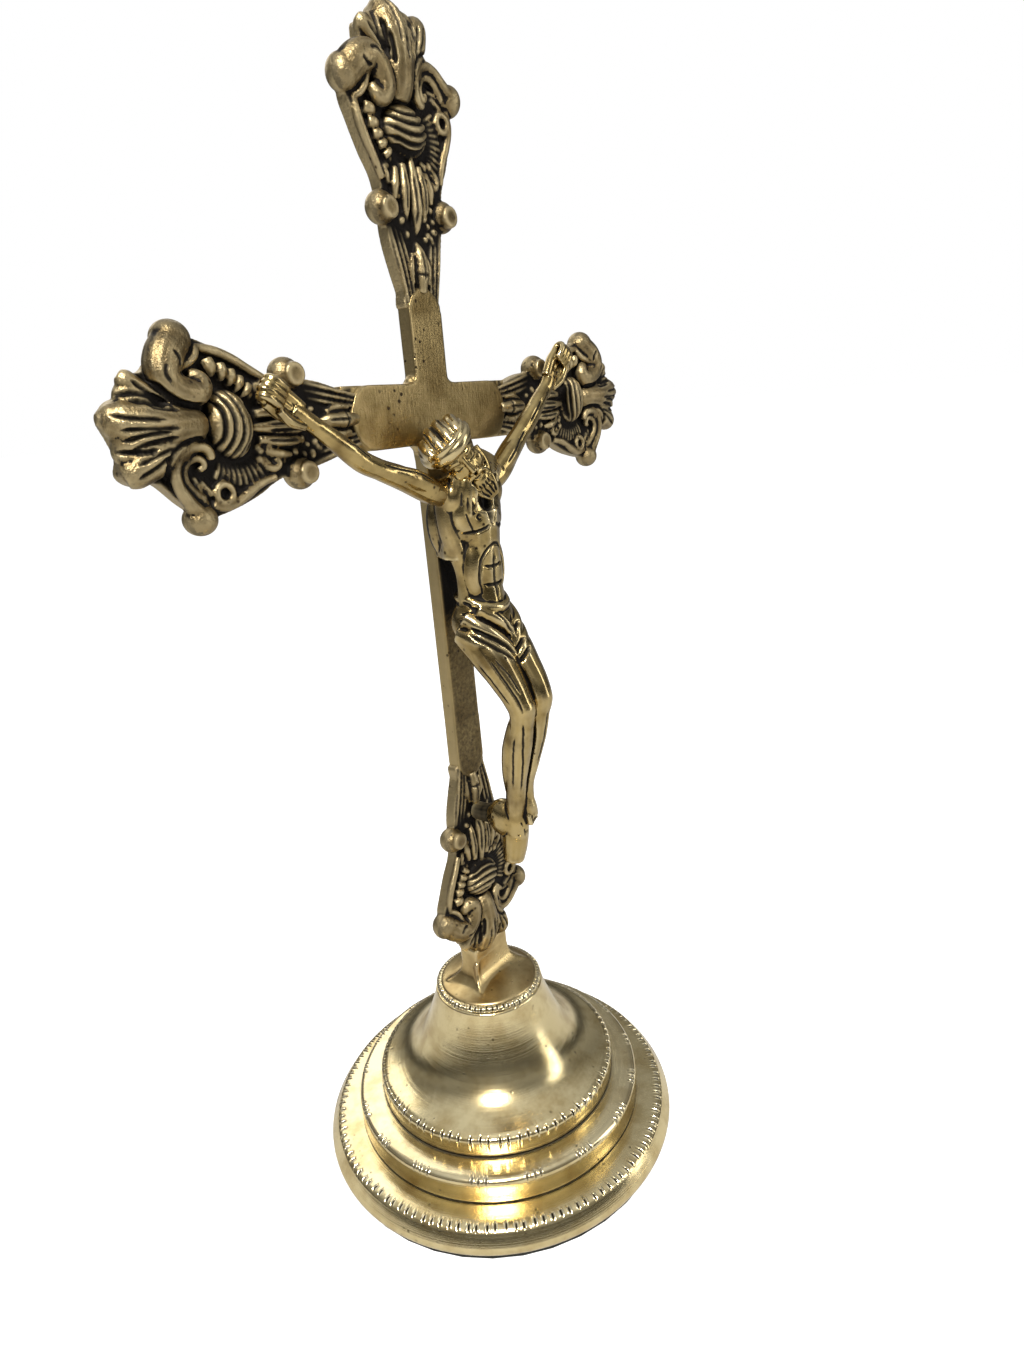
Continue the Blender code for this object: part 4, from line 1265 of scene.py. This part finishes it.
def leg_parts():
    paths = [
        [(-4, -12, -54.5, 6.1), (-4.1, -16.6, -60.0, 5.4), (-3.8, -20.6, -65.9, 4.5),
         (-3.4, -23.4, -71.2, 3.8),
         (-3.1, -24.3, -74.4, 3.5), (-2.9, -23.8, -78.0, 3.2), (-2.6, -22.4, -84, 3.4),
         (-2.1, -20.4, -92, 3.0),
         (-1.7, -18.7, -99, 2.6), (-1.2, -17.9, -104, 2.7), (-0.8, -17.2, -108, 2.6),
         (-0.3, -16.6, -112, 1.8)],
        [(-2.9, -23.2, -76.0, 2.2), (-3.0, -21.6, -80, 2.5), (-2.9, -19.8, -86, 2.8),
         (-2.4, -18.0, -93, 2.2), (-1.8, -17.4, -99, 1.7)],
        [(-1.6, -25.4, -77, 1.5), (-1.4, -22.9, -86, 1.5), (-1.0, -20.6, -96, 1.4),
         (-0.8, -19.6, -103, 1.2)],
        [(4, -12, -54.5, 6.1), (4.2, -16.8, -59.6, 5.3), (4.0, -21.0, -65.2, 4.5), (3.8, -24.2, -70.0, 3.8),
         (3.7, -25.2, -73.0, 3.4), (3.6, -24.6, -76.4, 3.0), (3.2, -23.2, -83, 3.1), (2.7, -21.2, -91, 2.6),
         (2.2, -19.6, -98, 2.1), (1.9, -19.6, -104, 2.1)],
        [(3.4, -22, -80, 2.4), (3.0, -19.9, -87, 2.4), (2.5, -18.6, -94, 1.8)],
        [(1.8, -19.5, -102.0, 2.1), (2.0, -19.9, -105.0, 2.4), (2.2, -20.0, -107.6, 2.4)],
        [(-0.6, -10.5, -108.2, 3.2), (-0.4, -6.5, -109.0, 2.7), (0, -2.2, -109.4, 2.6)],
        [(-0.6, -17.9, -101.5, 2.5), (-0.2, -17.3, -105.0, 3.1), (0.2, -16.4, -109.0, 3.7),
         (0.3, -15.9, -113.0, 3.8),
         (0.3, -15.2, -117.5, 3.6), (0.2, -14.4, -121.8, 3.1)],
    ]
    for k in range(5):
        paths.append([(0.3 + 0.95 * k, -21.0 + 0.3 * k, -106.4, 0.75),
                      (0.4 + 0.95 * k, -21.6 + 0.34 * k, -109.4, 0.8)])
    masses = [mass((-3.0, -24.6, -74.0), (3.5, 3.3, 4.6)), mass((3.8, -25.4, -72.6), (3.3, 3.2, 4.4)),
              mass((-1.2, -13.4, -108.4), (3.7, 4.8, 5.6)), mass((-0.2, -16.8, -109.4), (3.6, 3.6, 7.0))]
    return [strokes([lifted(p) for p in paths])] + masses


def cloth_parts():
    band = []
    for a in np.radians(range(0, 360, 36)):
        band.append((0.1 + 6.1 * math.cos(a), -11.4 + 6.3 * math.sin(a), -45.4 + 2.6 * min(0, math.sin(a)),
                     1.1))
    drapes = [
        [(-7.8, -12.0, -49.5, 2.2), (-5.6, -16.6, -53.2, 2.2), (-2.2, -19.2, -57.6, 2.2),
         (0.0, -20.6, -61.0, 1.6)],
        [(-7.6, -10.0, -53.5, 3.2), (-6.4, -15.0, -56.0, 3.4), (-4.0, -18.6, -59.0, 3.2),
         (-1.6, -20.6, -61.6, 2.0)],
        [(-5.6, -14.6, -47.6, 1.6), (-1.8, -17.6, -51.0, 1.8), (1.6, -18.6, -54.8, 1.6),
         (1.8, -19.6, -58.0, 1.4)],
        [(7.8, -11.4, -49.5, 2.4), (6.4, -15.6, -52.6, 2.4), (4.0, -18.4, -55.4, 2.2),
         (1.6, -19.8, -59.0, 1.6)],
        [(7.6, -11.0, -53.0, 3.0), (6.2, -16.4, -56.0, 3.2), (4.0, -19.6, -58.6, 2.6),
         (1.0, -21.2, -62.0, 1.5)],
    ]
    return [strokes([lifted(band)] + [lifted(p) for p in drapes], closed=(0,)),
            mass((0, -11.2, -52), (9.2, 7.6, 7.2))]


def long_hair():
    """Locks lying on the chest and a fan of locks down to the shoulder."""
    paths = []
    for x, y, low in ((-9.0, -12.6, -21.4), (-8.2, -13.6, -22.6), (-7.2, -14.6, -23.8),
                      (-6.2, -15.6, -24.4),
                      (-5.0, -16.4, -23.4)):
        paths.append([(x + 1.6, y - 0.2, -13.5, 0.7), (x + 0.5, y - 0.5, -17.5, 0.6),
                      (x, y - 0.3, low, 0.3)])
    for k in range(7):
        t = k / 6
        start = (1.0 - 1.4 * t, -12.8 - 3.6 * t, -8.8 - 5.4 * t)
        end = (11.2 - 9.0 * t, -12.4 - 5.0 * t, -15.0 - 3.4 * t)
        middle = [(a + b) / 2 for a, b in zip(start, end)]
        paths.append([(*start, 0.7), (middle[0] + 0.6, middle[1] - 0.8, middle[2] + 0.2, 0.8), (*end, 0.4)])
    return [strokes([lifted(p) for p in paths]), mass((4.6, -11.4, -14.4), (5.4, 3.6, 3.4), (0, 30, 0))]


BODY_GROOVES = {
    (0.50, 0.70): [
        [(-3.0, -17.4, -49.4), (-0.4, -18.6, -52.2), (1.7, -19.2, -55.2)],
        [(3.4, -18.4, -50.6), (1.9, -19.2, -55.0)],
        [(-9, -11, -46.2), (-6.0, -13.5, -46.4)], [(-9, -11, -48.2), (-7.0, -14.0, -48.7)],
        [(-9.6, -11, -50.0), (-8.0, -13.5, -50.7)], [(-10, -11, -51.8), (-9.0, -13.8, -52.4)],
        [(-4.0, -15.5, -44.0), (-4.7, -15.5, -40.0), (-4.2, -16.0, -36.0), (-2.5, -17.0, -33.2),
         (0.2, -17.6, -31.8),
         (2.8, -17.0, -33.0), (4.2, -16.0, -36.0), (4.6, -15.5, -40.0), (4.2, -15.5, -44.0)],
        [(-0.2, -17.5, -33.6), (-0.4, -17.5, -38), (-0.3, -17.3, -42), (0, -17.5, -46)],
        [(-3.6, -16.4, -37.2), (-0.4, -17.5, -37.4), (3.4, -16.4, -37.0)],
        [(-3.6, -16.0, -41.8), (-0.4, -17.2, -42.2), (3.4, -16.2, -41.6)],
        [(-7.4, -13.4, -28.3), (-5.0, -15.6, -28.4), (-2.6, -17, -27.8), (-0.8, -17.5, -26.6)],
        [(0.8, -17.5, -26.6), (2.8, -17.0, -27.6), (5.4, -15.4, -27.8), (7.6, -13.4, -27.2)],
    ],
    (0.36, 0.34): [
        [(-8.2, -19.0, -59.4), (-7.6, -22.5, -64.4), (-6.6, -26.0, -70.2), (-6.0, -27.3, -74.3)],
        [(-7.0, -19.8, -59.5), (-5.8, -23.2, -64.5), (-4.9, -26.0, -69.4)],
        [(-6.2, -27.0, -76.0), (-5.0, -25.5, -82.0), (-3.4, -23.0, -91.0), (-2.4, -21.0, -99.0)],
        [(-8.6, -16.0, -60.5), (-8.0, -20.0, -66.0), (-6.8, -24.0, -72.0)],
        [(-5.2, -23.6, -80), (-4.2, -21.6, -88), (-3.2, -19.8, -97)],
        [(5.4, -22.8, -63.5), (5.6, -26.0, -68.5), (5.4, -28.0, -72)],
        [(3.8, -28.2, -75.5), (3.2, -26.0, -83), (2.6, -23.4, -92)],
        [(-6.8, -14.2, -23.4), (-6.0, -15.0, -26.4), (-5.2, -15.6, -28.2)],
        [(-3.4, -17.6, -19.6), (-1.8, -17.8, -22.5), (-0.6, -17.6, -26.4)],
    ],
    (0.74, 1.20): [
        [(-7.0, -14.6, -49.8), (-4.5, -17.5, -52.2), (-1.6, -19.0, -54.6), (1.0, -19.4, -56.6)],
        [(-8.0, -14.4, -51.6), (-6.0, -17.4, -54.0), (-3.6, -19.6, -56.8), (-0.6, -20.8, -60.0)],
        [(-9.0, -14.5, -53.8), (-7.2, -17.6, -56.0), (-4.8, -20.4, -58.8), (-2.2, -22.0, -61.8)],
        [(2.2, -19.2, -56.0), (5.2, -18.4, -53.2)],
        [(-0.2, -21.0, -60.2), (4.2, -20.6, -57.4)], [(0.6, -22.2, -62.4), (4.4, -22.0, -59.6)],
        [(-0.2, -22.4, -63.5), (0.1, -24.5, -68.0), (0.2, -25.5, -73.0)],
        [(0.3, -25.5, -77), (0.4, -23.5, -86), (0.3, -21, -96), (0.2, -20, -101)],
        [(-0.6, -17.0, -18.5), (-0.5, -17.4, -22.5), (0, -17.4, -27.0)],
        [(0.6, -17.0, -18.5), (0.4, -17.4, -22.5), (0, -17.4, -27.0)],
        [(2.0, -16.6, -18.0), (1.0, -17.2, -21.5), (0.1, -17.4, -25.0)],
        [(-2.2, -16.6, -18.4), (-1.2, -17.2, -21.5), (-0.2, -17.4, -25.0)],
    ],
    (0.32, 0.5): [
        [(0.8 + 0.95 * k, -21.4 + 0.32 * k, -106.0),
         (0.9 + 0.95 * k, -22.2 + 0.34 * k, -110.0)] for k in range(4)
    ] + [
        [(-1.9, -20.0, -108.2), (-1.5, -20.2, -109.2)],
        [(-1.2, -20.4, -110.4), (-0.6, -20.4, -111.6), (-0.5, -20.2, -113.0)],
        [(0.2, -20.4, -111.2), (0.5, -20.2, -112.4)], [(-2.8, -19.2, -112.0), (-2.2, -19.4, -112.4)],
    ],
}


def nipple_ring(centre):
    x, y, z = centre
    return [(x + 0.75 * math.cos(a), y, z + 0.75 * math.sin(a)) for a in map(math.radians,
                                                                             range(0, 361, 45))]


def below_beard(obj):
    """1 in the wedge between the two halves of the chest, under the beard, where shade is painted."""
    co = points_of(obj)
    drop = np.clip((CROSSING - 16.5 - co[:, 2]) / 10.5, 0, 1)
    left, right = -5.6 + 5.2 * drop, 4.0 - 3.4 * drop
    inside = np.clip(np.minimum(co[:, 0] - left, right - co[:, 0]) / 0.6, 0, 1)
    above = np.clip((co[:, 2] - CROSSING + 27.4) / 0.8, 0, 1)
    return inside * (co[:, 1] < -12.6) * above * (co[:, 2] < CROSSING - 15.0)


def make_body():
    parts = torso_parts() + leg_parts() + cloth_parts() + long_hair()
    made = sculpt("figure_body", parts)
    cuts = None
    for (width, depth), lines in BODY_GROOVES.items():
        cuts = score(made, [lifted(line) for line in lines], width, depth, cuts=cuts)
    rings = [lifted(nipple_ring(c)) for c in ((-4.2, -17.2, -24.9), (4.6, -17.0, -24.4))]
    cuts = score(made, rings, 0.3, 0.28, cuts=cuts)
    pits = [lifted([p, (p[0] + 0.1, p[1], p[2] - 0.3)]) for p in ((-8.2, -12.8, -27.5),
                                                                  (-7.0, -12.8, -30.2))]
    cuts = score(made, pits, 0.7, 0.7, cuts=cuts)
    # Painted shade under the beard; the same mask also pushes the skin back 1 mm.
    shade = below_beard(made)
    put_points(made, points_of(made) + np.array([0, 1.0, 0]) * shade[:, None])
    co = points_of(made)
    # Painted shade on the figure's back next to the post and on the peg that joins the feet to the post.
    seat = np.clip((co[:, 1] + 4.2) / 1.6, 0, 1)
    lug = np.clip((co[:, 1] + 9.6) / 1.2, 0, 1) * (co[:, 2] < CROSSING - 102)
    seat = np.maximum(seat, lug)
    # Painted highlight on the flank on the -x side, at chest height.
    flank = np.clip((-co[:, 0] - 5.0) / 3, 0, 1) * np.clip(1.4 - np.abs(co[:, 2] - CROSSING + 27) / 12, 0,
                                                           1) * 0.15
    patina_and_painted_light(made, cuts, 0.08, 0.30, np.maximum(seat, shade * 1.2) * 0.9, 1.2, None, flank)
    return finish_piece(made, "figure", "figure_brass", "corpus_body")


# The head is made upright, facing -y, and then laid over to its right, looking a little down.
HEAD_PLACE = (-5.6, -11.6, -9.4)
HEAD_UP = Vector((-0.69, 0.10, 0.72)).normalized()
HEAD_LOOK = Vector((-0.36, -0.86, -0.30))
HEAD_FRONT = (HEAD_LOOK - HEAD_UP * HEAD_LOOK.dot(HEAD_UP)).normalized()


def face_parts():
    paths = mirrored([
        [(4.0, -4.4, 0.35, 0.6), (2.5, -5.6, 0.95, 0.75), (1.0, -6.1, 0.75, 0.7)],
        [(3.2, -4.7, -0.95, 0.34), (2.1, -5.6, -1.25, 0.4), (1.1, -5.4, -0.95, 0.3)],
        [(0.4, -6.8, -4.45, 0.45), (1.6, -6.1, -4.9, 0.55), (2.6, -5.3, -6.0, 0.5),
         (2.8, -4.8, -7.4, 0.45)],
        [(0.1, -6.5, -5.25, 0.4), (1.3, -5.9, -5.35, 0.25)],
        [(0.1, -6.4, -5.95, 0.48), (1.1, -5.9, -5.85, 0.28)],
        [(4.4, -1.6, -2.0, 1.2), (3.9, -2.8, -5.6, 1.2), (2.2, -4.2, -8.4, 1.3)],
    ])
    paths.append([(0, -5.5, 1.2, 0.75), (0, -6.3, -0.7, 0.62), (0, -7.1, -2.4, 0.75),
                  (0, -7.5, -3.4, 0.85)])
    masses = [
        lump((0, 0.4, 1.8), (5.8, 6.8, 6.4)), lump((0, -1.8, -2.6), (4.5, 4.5, 5.8)),
        lump((2.6, -3.9, -2.9), (2.0, 1.7, 1.9)), lump((-2.6, -3.9, -2.9), (2.0, 1.7, 1.9)),
        lump((2.1, -4.8, -0.75), (1.3, 1.0, 0.85)), lump((-2.1, -4.8, -0.75), (1.3, 1.0, 0.85)),
        lump((0.85, -6.6, -3.7), (0.6, 0.75, 0.5)), lump((-0.85, -6.6, -3.7), (0.6, 0.75, 0.5)),
        lump((0, -4.5, -7.8), (2.8, 2.2, 2.4)),
    ]
    return [strokes(paths)] + masses


def cap_parts():
    """Broad slanting locks over the crown, a rim round them and a smooth band below."""
    def ring(height, rx, ry, thick):
        return [(rx * math.cos(a), ry * math.sin(a) + 0.5, height + -0.5 * math.sin(a), thick)
                for a in np.radians(range(0, 360, 30))]
    locks = []
    for k in range(4):
        x = -4.2 + 2.8 * k
        reach = math.sqrt(max(1.0, 36 - x * x))
        locks.append([(x - 0.6, -reach * 0.86, 4.7, 1.3),
                      (x - 0.3, -reach * 0.45, 6.7 - abs(x) * 0.3, 1.75),
                      (x + 0.3, reach * 0.35, 7.0 - abs(x) * 0.35, 1.85),
                      (x + 0.8, reach * 0.92, 4.6, 1.4)])
    return [strokes([ring(4.7, 6.0, 6.6, 0.62), ring(2.9, 5.5, 6.2, 1.75)] + locks, closed=(0, 1)),
            lump((0, 1.6, 0.4), (5.6, 5.8, 5.4))]


def beard_parts():
    paths = [[(s * 2.6, -4.8, -8.4, 1.0), (s * 1.9, -5.6, -10.6, 0.9), (s * 0.9, -5.4, -13.2, 0.5)]
             for s in (-1, -0.33, 0.33, 1)]
    return [strokes(paths), lump((0, -4.4, -10.0), (2.5, 1.9, 2.8))]


def make_head():
    made = sculpt("figure_head", face_parts() + cap_parts() + beard_parts())
    locks = [[(x - 0.4, -5.0, 5.8), (x, 0, 8.8), (x + 0.5, 4.6, 7.0)] for x in (-2.8, 0, 2.8)]
    cuts = score(made, locks, 0.55, 0.6)
    # Painted highlight over the top of the head.
    crown = np.clip((points_of(made)[:, 2] - 1.2) / 1.5, 0, 1) * 0.8
    beard = [[(x, -7.0, -7.4), (x * 0.9, -7.2, -9.6), (x * 0.5, -6.6, -12.6)] for x in (-1.8, -0.65, 0.65,
                                                                                        1.8)]
    sides = [[(s * 4.4, -4.6, -1.4), (s * 4.1, -5.0, -4.0), (s * 3.4, -5.2, -6.8)] for s in (-1, 1)]
    eyes = [[(s * 1.0, -6.2, -1.15), (s * 2.1, -6.2, -1.35), (s * 3.3, -5.2, -1.1)] for s in (-1, 1)]
    folds = [[(s * 1.1, -6.4, 0.1), (s * 2.2, -6.2, 0.25), (s * 3.2, -5.4, 0.0)] for s in (-1, 1)]
    mouth = [[(-1.5, -6.6, -5.65), (0, -7.0, -5.58), (1.5, -6.6, -5.65)]]
    cuts = score(made, beard + sides, 0.36, 0.36, cuts=cuts)
    cuts = score(made, eyes + folds + mouth, 0.27, 0.26, cuts=cuts)
    side = HEAD_UP.cross(HEAD_FRONT)
    turn = Matrix((side, -HEAD_FRONT, HEAD_UP)).transposed().to_4x4()
    place = Vector((HEAD_PLACE[0], HEAD_PLACE[1], HEAD_PLACE[2] + CROSSING)) * MM
    made.data.transform(Matrix.Translation(place) @ turn)
    made.data.update()
    patina_and_painted_light(made, cuts, 0.09, 0.4, None, 0.8, None, crown)
    return finish_piece(made, "figure", "figure_brass", "corpus_body")


def hand_parts(wrist, way, across):
    """Cupped hand: palm, four bent fingers and the thumb; way points to the fingers."""
    wrist, way, across = Vector(wrist), Vector(way).normalized(), Vector(across).normalized()
    front = Vector((0, -1, 0))

    def spot(a, c, f, r):
        p = wrist + way * a * 1.48 + across * (c * 0.92 - 0.3) + front * f * 0.9
        return (p.x, p.y, p.z, r)
    paths = [
        [spot(-1.5, 0, 0.0, 1.9), spot(1.5, 0, 0.0, 2.0), spot(3.4, 0, -0.2, 1.9)],
        [spot(2.0, -1.8, 0.2, 1.4), spot(5.4, -2.3, 0.1, 1.4), spot(7.6, -2.2, 0.2, 1.1)],
        [spot(2.0, 1.6, 0.1, 1.4), spot(5.4, 2.2, 0.0, 1.4), spot(7.6, 2.0, 0.2, 1.1)],
        [spot(2.4, 0, -0.4, 1.5), spot(7.0, 0, -0.4, 1.5)],
        [spot(1.0, -2.0, 0.8, 0.9), spot(3.6, -3.1, 1.7, 1.15), spot(6.0, -2.7, 2.3, 0.85)],
    ]
    for k in range(4):
        c = -1.9 + 1.45 * k
        short = 0.2 * abs(k - 1)
        paths.append([spot(7.0, c, 0.0, 0.85), spot(9.0 - short, c, 0.9, 0.85),
                      spot(8.8 - short, c, 2.5, 0.8),
                      spot(6.9, c, 3.0, 0.75), spot(5.6, c, 2.3, 0.6)])
    return [strokes([lifted(p) for p in paths])]


def make_arm(name, chain, muscles, hand, lines, node):
    parts = [strokes([lifted(chain)] + [lifted(p) for p in muscles])] + hand_parts(*hand)
    made = sculpt(name, parts)
    cuts = score(made, [lifted(line) for line in lines], 0.35, 0.3)
    patina_and_painted_light(made, cuts, 0.11, 0.42, None, 0.8)
    return finish_piece(made, "figure", "figure_brass", node)


def make_arms():
    make_arm(
        "figure_right_arm",
        [(-5, -9.2, -19.4, 3.3), (-12, -9.6, -17.8, 3.2), (-22, -9.4, -13.4, 2.8), (-28, -9.2, -11.0, 2.4),
         (-33, -9.2, -8.7, 2.5), (-39, -8.6, -4, 2.2), (-45, -7.8, 0.6, 1.75)],
        [[(-13, -10.6, -16.8, 2.4), (-19, -10.9, -14.2, 2.5), (-26, -10.0, -11.4, 1.6)],
         [(-31, -9.6, -9.6, 1.8), (-36, -9.6, -6.4, 2.0), (-42, -8.6, -1.8, 1.2)]],
        ((-44.2, -8.0, 0.3), (-0.84, 0, 0.54), (0.54, 0, 0.84)),
        [[(-14, -12.6, -15.4), (-22, -12.0, -12.2), (-29, -11.4, -9.4)],
         [(-31, -11.8, -8.4), (-38, -10.9, -3.4)]],
        "corpus_right_arm",
    )
    make_arm(
        "figure_left_arm",
        [(5, -9.2, -19.0, 3.3), (12, -9.8, -16.2, 3.2), (19, -9.6, -10.6, 2.9), (24, -9.4, -6.8, 2.5),
         (27, -9.3, -4.5, 2.6), (33, -8.8, 0.4, 2.3), (38.8, -8, 4.8, 1.8)],
        [[(12, -10.6, -15.2, 2.4), (17, -10.9, -11.4, 2.5), (22, -10.0, -7.8, 1.6)],
         [(25, -9.6, -5.4, 1.8), (30, -9.6, -1.4, 2.0), (36, -8.6, 3.2, 1.2)]],
        ((38.2, -8.2, 4.4), (0.64, 0, 0.77), (-0.77, 0, 0.64)),
        [[(13, -12.6, -14.0), (18, -12.4, -10.0), (24, -11.4, -5.6)],
         [(26, -11.6, -4.2), (33, -10.9, 1.6)]],
        "corpus_left_arm",
    )


# ---------------------------------------------------------------- assembly of the picture

def make_all():
    add_camera()
    add_floor()
    add_lights()
    add_room()
    finish_frame_pieces()
    make_plinth()
    make_middle_tier()
    make_bell()
    make_stem()
    make_bars()
    place_ornaments()
    make_body()
    make_head()
    make_arms()


make_all()
